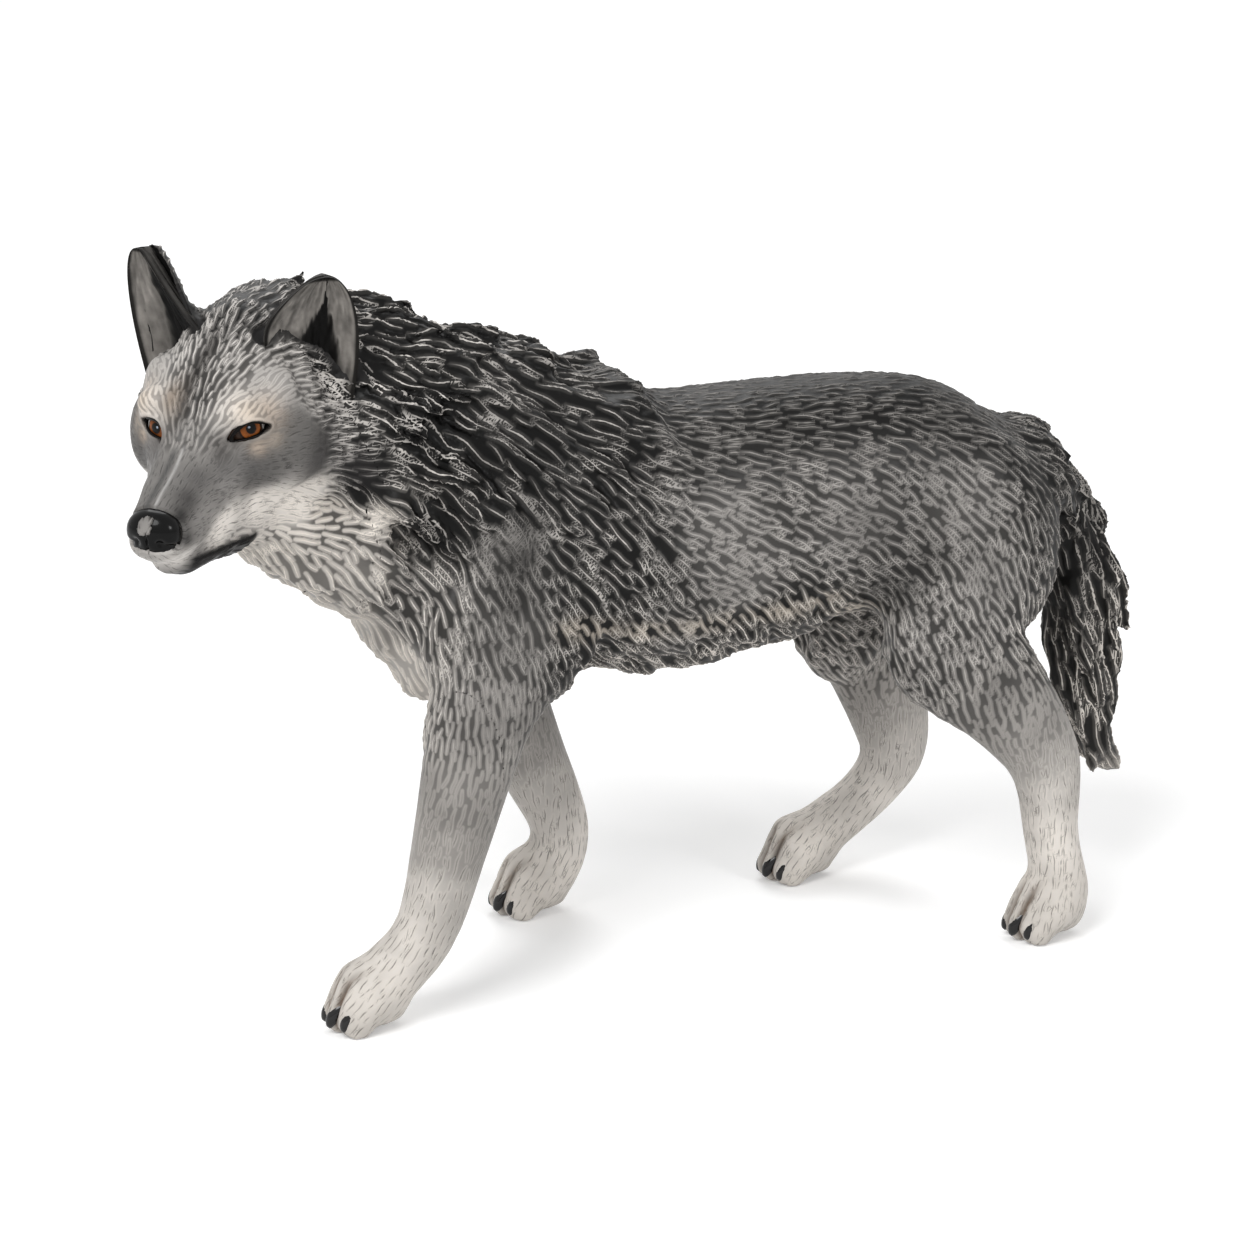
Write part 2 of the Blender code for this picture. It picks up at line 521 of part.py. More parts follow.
def smooth_forms():
    """All the forms of the animal, overlapping, before its hair."""
    bm = bmesh.new()
    place = head_matrix()
    trunk(bm)
    neck(bm)
    shoulders_and_thighs(bm)
    left, right = FRONT_LEFT_PAW_X, FRONT_RIGHT_PAW_X
    front_leg(bm, -1, left, (SHOULDER_X - 4.6, BELLY_HEIGHT - 1), (left + 5.6, WRIST_HEIGHT))
    front_leg(bm, 1, right, (SHOULDER_X + 2.5, BELLY_HEIGHT - 4), (right + 2.5, WRIST_HEIGHT))
    left, right = HIND_LEFT_PAW_X, HIND_RIGHT_PAW_X
    hind_leg(bm, -1, left, HIP_X - 0.4, (left - 1.0, LEFT_HOCK_HEIGHT), (left - 0.3, 11.0))
    hind_leg(bm, 1, right, HIP_X - 4.0, (right + 10.0, RIGHT_HOCK_HEIGHT), (right + 7.0, 8.4))
    tail(bm)
    throat(bm)
    skull(bm, place)
    cheek_ruffs(bm, place)
    nose(bm, place)
    return bm


def fine_forms(bm):
    """The thin and small parts, which stay clear of the hair."""
    place = head_matrix()
    ear(bm, place, 1, 3.9, 4.2, 8.5, -0.6)
    ear(bm, place, -1, 2.4, 4.2, 10.0, 1.0)
    paw_places = (FRONT_LEFT_PAW_X, -1), (FRONT_RIGHT_PAW_X, 1), (HIND_LEFT_PAW_X, -1), (HIND_RIGHT_PAW_X, 1)
    for x, side in paw_places:
        paw(bm, x, side)


def as_mesh(bm):
    """The overlapping forms as one mesh in metres."""
    bmesh.ops.recalc_face_normals(bm, faces=bm.faces)
    bmesh.ops.scale(bm, vec=(MM, MM, MM), verts=bm.verts)
    mesh = bpy.data.meshes.new("forms")
    bm.to_mesh(mesh)
    bm.free()
    return mesh


def one_skin(wolf, mesh, voxel, steps):
    """Melts overlapping forms into one closed skin, shuts its pinholes and softens it."""
    wolf.data = mesh
    for reach in (PINHOLE, -PINHOLE):
        remesh = wolf.modifiers.new("one_skin", "REMESH")
        remesh.mode = "VOXEL"
        remesh.voxel_size = voxel * MM
        swell = wolf.modifiers.new("swell", "DISPLACE")
        swell.strength = reach * MM
        swell.mid_level = 0.0
    smooth = wolf.modifiers.new("soften", "SMOOTH")
    smooth.factor = 0.5
    smooth.iterations = steps
    apply_modifiers(wolf)


def apply_modifiers(wolf):
    """Replaces the mesh by what its modifiers make of it."""
    graph = bpy.context.evaluated_depsgraph_get()
    wolf.data = bpy.data.meshes.new_from_object(wolf.evaluated_get(graph))
    wolf.modifiers.clear()


def outer_skin_only(bm):
    """Removes every separate closed bit but the largest, such as a pocket shut inside the body."""
    bm.verts.ensure_lookup_table()
    left = set(bm.verts)
    pieces = []
    while left:
        piece = set()
        edge_of_piece = [left.pop()]
        while edge_of_piece:
            vert = edge_of_piece.pop()
            piece.add(vert)
            for edge in vert.link_edges:
                other = edge.other_vert(vert)
                if other in left:
                    left.remove(other)
                    edge_of_piece.append(other)
        pieces.append(piece)
    largest = max(pieces, key=len)
    bmesh.ops.delete(bm, geom=[vert for vert in bm.verts if vert not in largest], context="VERTS")


def close_faults(bm):
    """Opens the skin where more or fewer than two faces meet at an edge, and closes it again."""
    for _ in range(5):
        faults = {vert for edge in bm.edges if len(edge.link_faces) != 2 for vert in edge.verts}
        if not faults:
            return
        bmesh.ops.delete(bm, geom=list(faults), context="VERTS")
        rim = [edge for edge in bm.edges if len(edge.link_faces) == 1]
        bmesh.ops.holes_fill(bm, edges=rim)
        bmesh.ops.triangulate(bm, faces=bm.faces)


def flat_soles(wolf):
    """Cuts everything off below the ground, so that the soles are flat."""
    bm = bmesh.new()
    bm.from_mesh(wolf.data)
    outer_skin_only(bm)
    close_faults(bm)
    geometry = bm.verts[:] + bm.edges[:] + bm.faces[:]
    cut = bmesh.ops.bisect_plane(bm, geom=geometry, plane_no=(0, 0, -1), clear_outer=True)
    edges = [e for e in cut["geom_cut"] if isinstance(e, bmesh.types.BMEdge)]
    bmesh.ops.holes_fill(bm, edges=edges)
    bmesh.ops.triangulate(bm, faces=bm.faces)
    bm.to_mesh(wolf.data)
    bm.free()


def centre_over_origin(wolf):
    """Moves the wolf so that the middle of its outer box is over the origin."""
    corners = np.array([vertex.co for vertex in wolf.data.vertices])
    middle = (corners.min(axis=0) + corners.max(axis=0)) / 2
    wolf.data.transform(Matrix.Translation((-middle[0], -middle[1], 0)))


def hand_painted_plastic():
    """The mean colour of the painted coat, on matt plastic."""
    material = bpy.data.materials.new("painted_coat")
    material.use_nodes = True
    shader = material.node_tree.nodes["Principled BSDF"]
    shader.inputs["Base Color"].default_value = (*COAT_COLOUR, 1)
    shader.inputs["Roughness"].default_value = COAT_ROUGHNESS
    return material


def cast(wolf):
    """Gives the object the finished shape: forms, hair, one thinned skin and flat soles."""
    one_skin(wolf, as_mesh(smooth_forms()), VOXEL * 2, SMOOTHING_STEPS)
    forms = smooth_forms()
    hair_locks(forms, wolf.data)
    fine_forms(forms)
    one_skin(wolf, as_mesh(forms), VOXEL, SMOOTHING_STEPS)
    decimate = wolf.modifiers.new("thin_out", "DECIMATE")
    wolf.data.calc_loop_triangles()
    decimate.ratio = TRIANGLES / len(wolf.data.loop_triangles)
    apply_modifiers(wolf)
    flat_soles(wolf)


def main():
    for obj in list(bpy.data.objects):
        bpy.data.objects.remove(obj)
    wolf = bpy.data.objects.new("wolf", bpy.data.meshes.new("wolf"))
    bpy.context.scene.collection.objects.link(wolf)
    cast(wolf)
    centre_over_origin(wolf)
    wolf.data.shade_smooth()
    wolf.data.materials.append(hand_painted_plastic())


main()
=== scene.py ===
"""Painted, fully haired finish for the walking wolf figurine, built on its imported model.

Sizes are in millimetres in the wolf's own frame, whose origin is on the ground midway between the paws.
The wolf faces -X, its left flank is at -Y, and +Z is up. Head coordinates are forward, left and up from
the point between the eyes.
"""

import math
from collections import namedtuple

import bpy
import numpy as np
from mathutils import Matrix, Vector
from mathutils.bvhtree import BVHTree
from mathutils.kdtree import KDTree


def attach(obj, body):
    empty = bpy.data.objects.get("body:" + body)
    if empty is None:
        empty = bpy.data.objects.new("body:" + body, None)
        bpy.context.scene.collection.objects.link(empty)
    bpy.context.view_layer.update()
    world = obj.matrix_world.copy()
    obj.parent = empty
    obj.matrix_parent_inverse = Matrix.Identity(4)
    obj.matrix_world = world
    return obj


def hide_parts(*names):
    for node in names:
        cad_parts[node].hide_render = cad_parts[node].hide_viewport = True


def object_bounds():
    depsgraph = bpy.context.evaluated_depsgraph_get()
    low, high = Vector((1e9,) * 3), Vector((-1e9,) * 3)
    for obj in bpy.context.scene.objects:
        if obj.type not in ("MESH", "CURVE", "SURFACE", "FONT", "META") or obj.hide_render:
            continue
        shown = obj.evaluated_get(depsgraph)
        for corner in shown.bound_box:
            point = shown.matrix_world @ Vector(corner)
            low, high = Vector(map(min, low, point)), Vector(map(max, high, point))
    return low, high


MM = 0.001
PAW_MIDDLE = np.array((5.654, 3.475, 0.0))
SEED = 11

# Mesh of the coat: edge length on the body and on the face
BODY_STEP = 0.235
FACE_STEP = 0.14
FACE_BACK = -9.5
PATCH_MARGIN = 0.8
SOFTENING = 3.0
PIECE_QUADS = 95000

# Strands of hair
STRAND_POINTS = 7
STRAND_SAMPLES = 19
SHORTEST_RUN = 7
STRAND_CROWD = 0.32
CREST_WIDTH = 0.056
GROOVE_TONE = (1.35, 0.45)
COAT_TONE = (1.2, 0.9)
CREST_TONE = (1.2, 1.3)
STRAND_SPACE = (0.88, 0.9)
CREST_SHARE = (0.8, 1.0)
CALM_STROKE = 0.7
EVEN = (1, 1, 1)
LOCK_SPACING = 2.2
LOCK_LENGTH = 8.0
LOCK_WIDTH = 2.2
LOCK_RISE = 0.55
LOCK_DEPTH = 0.5
LOCK_WAVE = 0.12
EAR_ROOM = 0.42
CUT_WAY = (0.97, 0.0, 0.25)
RELAX_STEPS = 10

# Camera of the photograph
CAMERA_AZIMUTH = 19.0
CAMERA_ELEVATION = 18.0
CAMERA_DISTANCE = 403.2
CAMERA_TARGET = np.array((-4.6, 5.3, 31.7))
FOCAL_PIXELS = 4032.0
FRAME_PIXELS = 1254
SENSOR_WIDTH = 36.0

# Head
HEAD_ORIGIN = (-51.2, -12.0, 60.8)
HEAD_YAW = 52.0
HEAD_PITCH = 9.0
HEAD_ROLL = 1.5

# Nose pad, in head coordinates
NOSE_CENTRE = np.array((11.1, 0.0, -5.2))
NOSE_RADII = np.array((1.85, 2.55, 2.15))

# Ears, in head coordinates for the left one
EAR_INNER = (-6.2, 3.9, 5.2)
EAR_OUTER = (-10.4, 10.6, -2.4)
EAR_HEIGHT = 10.5
EAR_WIDTH = 9.6
EAR_THICKNESS = 1.15
EAR_CUP_DEPTH = 2.8

EAR_ROWS = 80
EAR_COLUMNS = 72
COVER_ROWS = 19
COVER_COLUMNS = 15
COVER_FROM_ROW = 3
EARS_MIDDLE = (-9, 0, 6)
EARS_REACH = 20

# Eyes, in head coordinates and, for the lids, across and up from the middle of each eye
EYE_RINGS = 40
EYE_SPOKES = 72
LID_SPOKES = 10
PUPIL_RADIUS = 0.5
IRIS_RADIUS = 0.98
IRIS_RIM_RADIUS = 1.12

# Paws: place and side of each, and of the toes from one edge to the other
TRACK_HALF_WIDTH = 11.6
PAWS = ((-36.2, -1), (-12.3, 1), (35.0, -1), (17.2, 1))
PAW_HALF_LENGTH = 3.9
TOE_SPREAD = 2.35
TOE_PLACES = (-1, -0.36, 0.36, 1)
CLEFT_PLACES = (-0.68, 0, 0.68)
CLEFT_DEPTH = 0.55

# Studio: floor, surroundings and lamps with place in metres, size and power
FLOOR_REACH = 3.0
FLOOR_TONE = 0.84
FLOOR_GLOW = 0.25
WORLD_LIGHT = 0.38
LAMPS = (
    ("key", (-0.40, -0.35, 0.62), 0.42, 4.4),
    ("fill", (0.45, -0.65, 0.40), 0.22, 1.8),
    ("rim", (0.15, 0.55, 0.65), 0.5, 2.4),
)
LAMP_AIM_HEIGHT = 0.03

# Each coat guide: sides it is for, place, way the hair lies (along, out, up), strand length, space to
# the next strand and height, then the grey tones of grooves, coat and crests from 0 to 255, and how
# creamy the crest is.
BODY_COAT = [
    ("LR", -37, 2, 69, 0.9, 0.1, -0.35, 5.5, 0.85, 0.42, 10, 40, 150, 0.15),
    ("LR", -27, 2, 66, 0.95, 0.05, -0.3, 5.5, 0.85, 0.42, 10, 42, 150, 0.15),
    ("LR", -17, 2, 62, 0.95, 0.05, -0.3, 4.5, 0.8, 0.34, 14, 50, 150, 0.15),
    ("LR", -38, 9, 64, 0.85, 0.1, -0.5, 6.5, 0.95, 0.5, 6, 24, 165, 0.15),
    ("LR", -30, 11, 58, 0.75, 0.1, -0.66, 6.5, 0.95, 0.5, 6, 26, 170, 0.15),
    ("LR", -36, 10, 53, 0.6, 0, -0.8, 6.5, 0.95, 0.46, 6, 24, 150, 0.2),
    ("LR", -30, 11, 49, 0.55, 0, -0.83, 5.5, 0.85, 0.42, 8, 26, 140, 0.2),
    ("LR", -24, 11, 52, 0.65, 0, -0.75, 5, 0.8, 0.34, 18, 52, 155, 0.15),
    ("LR", -36, 8, 45, 0.55, 0, -0.83, 4.5, 0.8, 0.32, 122, 200, 238, 0.6),
    ("LR", -40, 2, 46, 0.5, 0, -0.85, 4, 0.75, 0.3, 172, 226, 243, 0.8),
    ("LR", -35, 3, 40, 0.5, 0, -0.86, 4, 0.75, 0.26, 168, 224, 242, 0.8),
    ("LR", -29, 4, 33, 0.5, 0, -0.86, 3.5, 0.7, 0.22, 156, 218, 240, 0.8),
    ("LR", -31, 9, 40, 0.45, 0, -0.88, 3.5, 0.68, 0.2, 60, 125, 185, 0.35),
    ("LR", -20, 9, 59, 0.8, 0, -0.6, 4.5, 0.75, 0.28, 22, 62, 155, 0.15),
    ("LR", -13, 9, 57, 0.85, 0, -0.52, 4.5, 0.75, 0.3, 18, 55, 155, 0.15),
    ("LR", -22, 12, 46, 0.45, 0, -0.88, 3, 0.58, 0.11, 42, 80, 140, 0.1),
    ("LR", -22, 13, 38, 0.35, 0, -0.93, 3, 0.56, 0.11, 50, 94, 150, 0.15),
    ("LR", -15, 12, 48, 0.7, 0, -0.7, 3.4, 0.66, 0.22, 26, 72, 155, 0.15),
    ("LR", -11, 12, 42, 0.6, 0, -0.8, 3.4, 0.66, 0.24, 22, 70, 155, 0.15),
    ("LR", -13, 12, 35, 0.55, 0, -0.83, 3.2, 0.64, 0.24, 20, 66, 160, 0.2),
    ("LR", -5, 3, 59, 1, 0, -0.08, 3.4, 0.62, 0.2, 18, 52, 140, 0.15),
    ("LR", 8, 3, 58, 1, 0, -0.05, 3, 0.6, 0.16, 22, 58, 138, 0.15),
    ("LR", 20, 3, 57, 0.98, 0, -0.18, 3, 0.6, 0.16, 22, 56, 138, 0.15),
    ("LR", 0, 9, 54, 0.95, 0, -0.25, 3, 0.58, 0.13, 32, 74, 142, 0.1),
    ("LR", 0, 12, 46, 0.88, 0, -0.42, 3, 0.56, 0.11, 56, 108, 155, 0.1),
    ("LR", 2, 11, 40, 0.8, 0, -0.55, 3, 0.56, 0.11, 60, 114, 160, 0.12),
    ("LR", -4, 10, 36, 0.65, 0, -0.72, 2.6, 0.6, 0.15, 42, 98, 170, 0.2),
    ("LR", -9, 8, 32, 0.5, 0.1, -0.82, 3.2, 0.66, 0.28, 22, 90, 215, 0.5),
    ("LR", -1, 8, 32, 0.5, 0.1, -0.82, 3.2, 0.66, 0.28, 22, 90, 215, 0.5),
    ("LR", 6, 8, 33, 0.5, 0.1, -0.82, 3.2, 0.66, 0.28, 22, 90, 215, 0.5),
    ("LR", 13, 8, 35, 0.55, 0.1, -0.75, 2.6, 0.6, 0.22, 30, 100, 210, 0.5),
    ("LR", -4, 1, 31, 0.9, 0, -0.3, 3, 0.7, 0.22, 40, 100, 185, 0.4),
    ("LR", 14, 1, 34, 0.9, 0, -0.2, 3, 0.7, 0.18, 50, 115, 195, 0.4),
    ("LR", 14, 10, 44, 0.85, 0, -0.48, 3, 0.56, 0.11, 52, 104, 152, 0.1),
    ("LR", 16, 9, 38, 0.75, 0, -0.6, 2.4, 0.58, 0.13, 36, 86, 160, 0.2),
    ("LR", 27, 6, 55, 0.9, 0.05, -0.4, 2.8, 0.58, 0.13, 28, 74, 140, 0.1),
    ("LR", 33, 6, 50, 0.75, 0.05, -0.65, 2.8, 0.58, 0.15, 24, 66, 142, 0.1),
    ("LR", 25, 11, 46, 0.7, 0, -0.7, 3, 0.56, 0.11, 48, 102, 150, 0.1),
    ("LR", 28, 12, 38, 0.45, 0, -0.88, 3, 0.56, 0.11, 50, 104, 154, 0.1),
    ("LR", 21, 11, 34, 0.45, 0, -0.88, 2.2, 0.56, 0.12, 46, 102, 160, 0.15),
    ("LR", 35, 8, 40, 0.45, -0.1, -0.88, 3, 0.62, 0.18, 30, 84, 168, 0.2),
    ("LR", 34, 9, 32, 0.35, -0.1, -0.92, 3, 0.62, 0.2, 42, 110, 200, 0.3),
    ("LR", 30, 5, 36, 0.3, 0, -0.95, 3, 0.6, 0.18, 60, 138, 210, 0.4),
    ("L", 29, 12, 26, 0.3, 0, -0.95, 2.2, 0.56, 0.1, 45, 112, 165, 0.2),
    ("L", 31.5, 12, 23, 0.2, 0, -1, 2.2, 0.56, 0.09, 60, 122, 175, 0.25),
    ("L", 33, 12, 20, 0.15, 0, -1, 2.2, 0.56, 0.08, 72, 140, 190, 0.35),
    ("L", 34.5, 12, 16, 0.1, 0, -1, 2.2, 0.58, 0.07, 88, 160, 200, 0.45),
    ("L", 35, 12, 12, 0, 0, -1, 2, 0.6, 0.06, 110, 174, 205, 0.6),
    ("L", 35, 12, 4, -0.3, 0, -0.95, 1.6, 0.62, 0.05, 118, 162, 190, 0.7),
    ("R", 24, 12, 24, 0.3, 0, -0.95, 2.2, 0.56, 0.1, 48, 122, 180, 0.3),
    ("R", 26, 12, 20, 0.15, 0, -1, 2.2, 0.56, 0.08, 64, 140, 190, 0.35),
    ("R", 27, 12, 15, 0, 0, -1, 2.2, 0.58, 0.07, 80, 156, 200, 0.4),
    ("R", 23, 12, 9, -0.6, 0, -0.8, 2, 0.6, 0.06, 108, 180, 208, 0.6),
    ("R", 17, 12, 4, -0.6, 0, -0.8, 1.6, 0.62, 0.05, 116, 176, 198, 0.7),
    ("L", -24, 12, 31, 0.05, 0, -1, 2.2, 0.56, 0.1, 45, 108, 165, 0.2),
    ("L", -27, 12, 22, -0.25, 0, -0.97, 2.2, 0.56, 0.09, 58, 118, 175, 0.3),
    ("L", -28.5, 12, 17.5, -0.3, 0, -0.95, 2.2, 0.56, 0.08, 70, 136, 188, 0.4),
    ("L", -30, 12, 13, -0.35, 0, -0.93, 2, 0.58, 0.07, 88, 154, 200, 0.5),
    ("L", -32.5, 12, 8.5, -0.5, 0, -0.85, 2, 0.6, 0.06, 104, 166, 200, 0.6),
    ("L", -36, 12, 4, -0.7, 0, -0.7, 1.6, 0.62, 0.05, 114, 164, 192, 0.7),
    ("R", -16, 11, 28, 0.1, 0, -1, 2.2, 0.56, 0.1, 42, 100, 160, 0.2),
    ("R", -13, 12, 19, 0.2, 0, -0.97, 2.2, 0.56, 0.08, 60, 124, 180, 0.3),
    ("R", -11.5, 12, 14, 0.1, 0, -1, 2.2, 0.58, 0.07, 78, 148, 195, 0.4),
    ("R", -10, 12, 10, 0, 0, -1, 2, 0.6, 0.06, 100, 174, 205, 0.5),
    ("R", -12, 12, 4, -0.6, 0, -0.8, 1.6, 0.62, 0.05, 112, 176, 198, 0.7),
    ("LR", 38, 2, 49, 0.75, 0.1, -0.65, 5.5, 0.8, 0.32, 8, 30, 128, 0.3),
    ("LR", 43, 3, 40, 0.4, 0.2, -0.9, 7.5, 0.8, 0.36, 10, 36, 140, 0.35),
    ("LR", 44, 3, 28, 0.2, 0.2, -0.97, 7.5, 0.8, 0.36, 22, 78, 190, 0.5),
    ("LR", 45, 2, 19, 0.35, 0.1, -0.93, 5.5, 0.8, 0.32, 26, 80, 190, 0.5),
    ("LR", 48, 1, 12, 0.6, 0, -0.8, 4.5, 0.75, 0.24, 80, 155, 220, 0.7),
]
HEAD_COAT = [
    ("LR", 10, 2, -3, -1, 0, 0.15, 1.2, 0.5, 0.02, 60, 92, 112, 0),
    ("LR", 6, 2, -1.8, -1, 0.05, 0.15, 1.4, 0.48, 0.03, 62, 98, 135, 0),
    ("LR", 3, 1, 0, -1, 0.05, 0.25, 2, 0.4, 0.1, 50, 104, 195, 0.1),
    ("LR", 0, 1, 3, -0.9, 0.1, 0.45, 2.4, 0.4, 0.12, 42, 96, 190, 0.2),
    ("LR", 0.5, 3.5, 2.5, -0.7, 0.4, 0.55, 2.2, 0.4, 0.1, 105, 185, 220, 0.4),
    ("LR", -3, 3, 6.5, -0.9, 0.25, 0.3, 2.4, 0.4, 0.12, 58, 122, 192, 0.1),
    ("LR", -3, 6, 4, -0.8, 0.35, 0.25, 2, 0.4, 0.09, 90, 155, 195, 0.1),
    ("LR", -8, 2, 8, -1, 0.1, 0.05, 2.8, 0.56, 0.2, 26, 78, 165, 0.1),
    ("LR", -13, 2, 9, -1, 0.1, -0.1, 3.6, 0.66, 0.28, 16, 55, 160, 0.1),
    ("LR", -7, 7, 2, -0.8, 0.35, -0.15, 2.4, 0.4, 0.11, 80, 142, 190, 0.1),
    ("LR", -3, 7, -1, -0.9, 0.3, -0.15, 1.4, 0.48, 0.06, 50, 82, 160, 0),
    ("LR", 0, 5.5, -3, -0.9, 0.2, -0.1, 1.2, 0.46, 0.05, 48, 78, 140, 0),
    ("LR", 5, 3.5, -4, -1, 0.1, 0, 1.2, 0.46, 0.04, 78, 108, 140, 0),
    ("LR", 9, 3, -5.5, -1, 0.1, 0, 1.2, 0.5, 0.03, 76, 103, 130, 0),
    ("LR", -6, 8, -4, -0.9, 0.35, -0.25, 1.8, 0.5, 0.07, 36, 54, 140, 0),
    ("LR", -10, 9, -5.5, -0.9, 0.4, -0.3, 3.6, 0.64, 0.24, 22, 60, 175, 0.1),
    ("LR", -13, 10.5, -8, -0.8, 0.4, -0.45, 4, 0.7, 0.28, 60, 150, 225, 0.6),
    ("LR", -7, 7.5, -7.5, -0.9, 0.3, -0.3, 2, 0.56, 0.06, 85, 188, 215, 0.6),
    ("LR", -5.5, 6.6, -9.3, -0.9, 0.3, -0.3, 2, 0.56, 0.06, 85, 192, 215, 0.7),
    ("LR", -9, 9, -10.8, -0.9, 0.4, -0.3, 2.6, 0.6, 0.14, 80, 200, 236, 0.8),
    ("LR", -10.2, 12.4, -11.6, -0.8, 0.5, -0.3, 3, 0.64, 0.2, 70, 200, 240, 0.8),
    ("LR", -9, 12, -7, -0.9, 0.4, -0.2, 3, 0.6, 0.16, 16, 44, 150, 0.1),
    ("LR", -2, 5.5, -7, -0.95, 0.2, -0.15, 1.6, 0.56, 0.05, 96, 192, 210, 0.5),
    ("LR", 4, 3.5, -7.4, -1, 0.1, -0.05, 1.4, 0.6, 0.03, 104, 188, 205, 0.5),
    ("LR", 10, 2, -8.2, -1, 0.05, 0, 1.2, 0.5, 0.03, 105, 168, 190, 0.2),
    ("LR", 8, 1.5, -10, -1, 0.05, 0, 1.4, 0.48, 0.04, 50, 90, 115, 0),
    ("LR", 2, 3, -11, -0.9, 0.1, -0.25, 2.4, 0.56, 0.12, 80, 150, 200, 0.4),
    ("LR", -6, 3, -14, -0.6, 0.1, -0.7, 3.6, 0.72, 0.26, 110, 200, 236, 0.8),
    ("LR", -12, 5, -14, -0.6, 0.1, -0.75, 4, 0.76, 0.28, 100, 195, 235, 0.8),
]

# Airbrushed marks on the head: place, reach, colour and strength. Those on the muzzle are on the left only.
MUZZLE_START = 5
Mark = namedtuple("Mark", "x y z reach colour strength")
FACE_MARKS = [
    Mark(0.4, 5.6, -1.0, 0.8, (196, 178, 160), 0.7),
    Mark(-0.9, 6.5, -0.6, 0.9, (186, 172, 156), 0.45),
    Mark(2.7, 3.7, -0.15, 0.55, (14, 12, 11), 1.0),
    Mark(1.4, 5.9, 3.0, 2.0, (214, 198, 180), 0.75),
    Mark(-1.2, 6.6, 2.2, 1.7, (205, 186, 168), 0.6),
    Mark(2.6, 3.6, -0.4, 1.3, (58, 54, 52), 0.7),
    Mark(3.4, 3.6, -1.9, 1.5, (84, 82, 82), 0.5),
    Mark(1.2, 5.2, -2.6, 1.8, (104, 102, 102), 0.35),
    Mark(6.2, 2.3, -1.9, 1.4, (78, 76, 76), 0.6),
    Mark(8.4, 2.2, -2.8, 1.3, (58, 56, 56), 0.75),
    Mark(10.2, 2.3, -3.8, 1.1, (30, 29, 29), 0.85),
    Mark(10.4, 2.8, -5.9, 1.0, (40, 39, 39), 0.8),
    Mark(-8.4, 11.6, -6.4, 2.3, (44, 42, 42), 0.75),
    Mark(-5.0, 9.0, -4.0, 2.4, (92, 90, 90), 0.4),
]


# Darkenings of the body, on both sides: place, reach and how dark they leave the coat. Along the back and
# rump they are the airbrushed dark of the paint; behind the shoulder, at the elbow, the groin and under the
# tail root they are painted shade in the folds
Shade = namedtuple("Shade", "x y z reach left")
DARK_PAINT_AND_PAINTED_SHADE = [
    Shade(-17, 8.5, 58.5, 1.7, 0.4), Shade(-17, 10.8, 55.5, 1.7, 0.4), Shade(-18.4, 12, 52, 1.7, 0.4),
    Shade(-20, 12, 48.5, 1.8, 0.4), Shade(-21, 12, 45, 1.8, 0.4), Shade(-22, 12, 41, 2.0, 0.45),
    Shade(-9, 7, 58.0, 1.8, 0.6), Shade(-9.6, 10.2, 54.0, 1.8, 0.65), Shade(-24, 11, 56, 2.0, 0.6),
    Shade(19, 9.5, 37.8, 2.2, 0.4), Shade(21.5, 10, 40.5, 2.0, 0.5), Shade(17, 7.5, 36.0, 1.8, 0.45),
    Shade(17, 9.3, 44, 3.4, 0.72), Shade(30, 4, 53, 5.0, 0.7), Shade(36.5, 6.5, 44, 4.5, 0.7),
    Shade(38.8, 2, 33, 3.5, 0.5), Shade(28, 13.5, 28, 2.4, 0.75), Shade(-23, 9, 36, 3.0, 0.6),
    Shade(-5, 2, 60, 7.0, 0.6), Shade(10, 2, 59, 8.0, 0.6), Shade(24, 2, 57, 7.0, 0.6),
]

# Places on the tail root and the top of the mane that are let down: place, reach and depth
HOLLOWS = [
    (39.4, 0.2, 51.6, 1.8, 1.4), (-30, 2, 70, 4.5, 1.3), (-23, 1, 68, 4.5, 2.0), (-16, 0, 65, 4.5, 1.5),
    (-10, 0, 62, 4.0, 1.9),
]

# Pale tips along the edge of the belly
FRINGE = [(-16, 10.9, 38.0), (-12.9, 10.8, 37.0), (-8, 10.6, 36.4), (-2.5, 10.3, 36.4), (2, 9.6, 36.2),
          (6.6, 8.3, 36.2), (11, 8.3, 37.0), (15, 6.4, 35.2)]


def head_matrix():
    """Takes head coordinates to the wolf's frame."""
    turn = Matrix.Rotation(math.radians(180 + HEAD_YAW), 4, "Z")
    nod = Matrix.Rotation(math.radians(HEAD_PITCH), 4, "Y")
    tilt = Matrix.Rotation(math.radians(-HEAD_ROLL), 4, "X")
    return Matrix.Translation(HEAD_ORIGIN) @ turn @ nod @ tilt


HEAD = np.array(head_matrix())


def to_head(points):
    return (points - HEAD[:3, 3]) @ HEAD[:3, :3]


def from_head(points):
    return np.asarray(points, float) @ HEAD[:3, :3].T + HEAD[:3, 3]


def camera_back():
    """The direction from the target to the camera."""
    azimuth, elevation = math.radians(CAMERA_AZIMUTH), math.radians(CAMERA_ELEVATION)
    flat = math.cos(elevation)
    return np.array((-math.sin(azimuth) * flat, -math.cos(azimuth) * flat, math.sin(elevation)))


def unit(vectors):
    return vectors / np.maximum(np.linalg.norm(vectors, axis=-1, keepdims=True), 1e-9)


def dot(first, second):
    return (first * second).sum(axis=-1)


def smoothstep(low, high, values):
    share = np.clip((values - low) / (high - low), 0, 1)
    return share * share * (3 - 2 * share)


def between(ends, share):
    """The value at a share of the way from the first end to the second."""
    return ends[0] + (ends[1] - ends[0]) * share


def bell(points, centre, reach):
    """One at the centre, fading to nothing over about twice the reach."""
    offset = (points - np.asarray(centre, float)) / reach
    return np.exp(-dot(offset, offset))


def linear(tone):
    """A 0 to 255 screen tone as light."""
    tone = np.asarray(tone, float) / 255
    return np.where(tone <= 0.04045, tone / 12.92, ((tone + 0.055) / 1.055) ** 2.4)


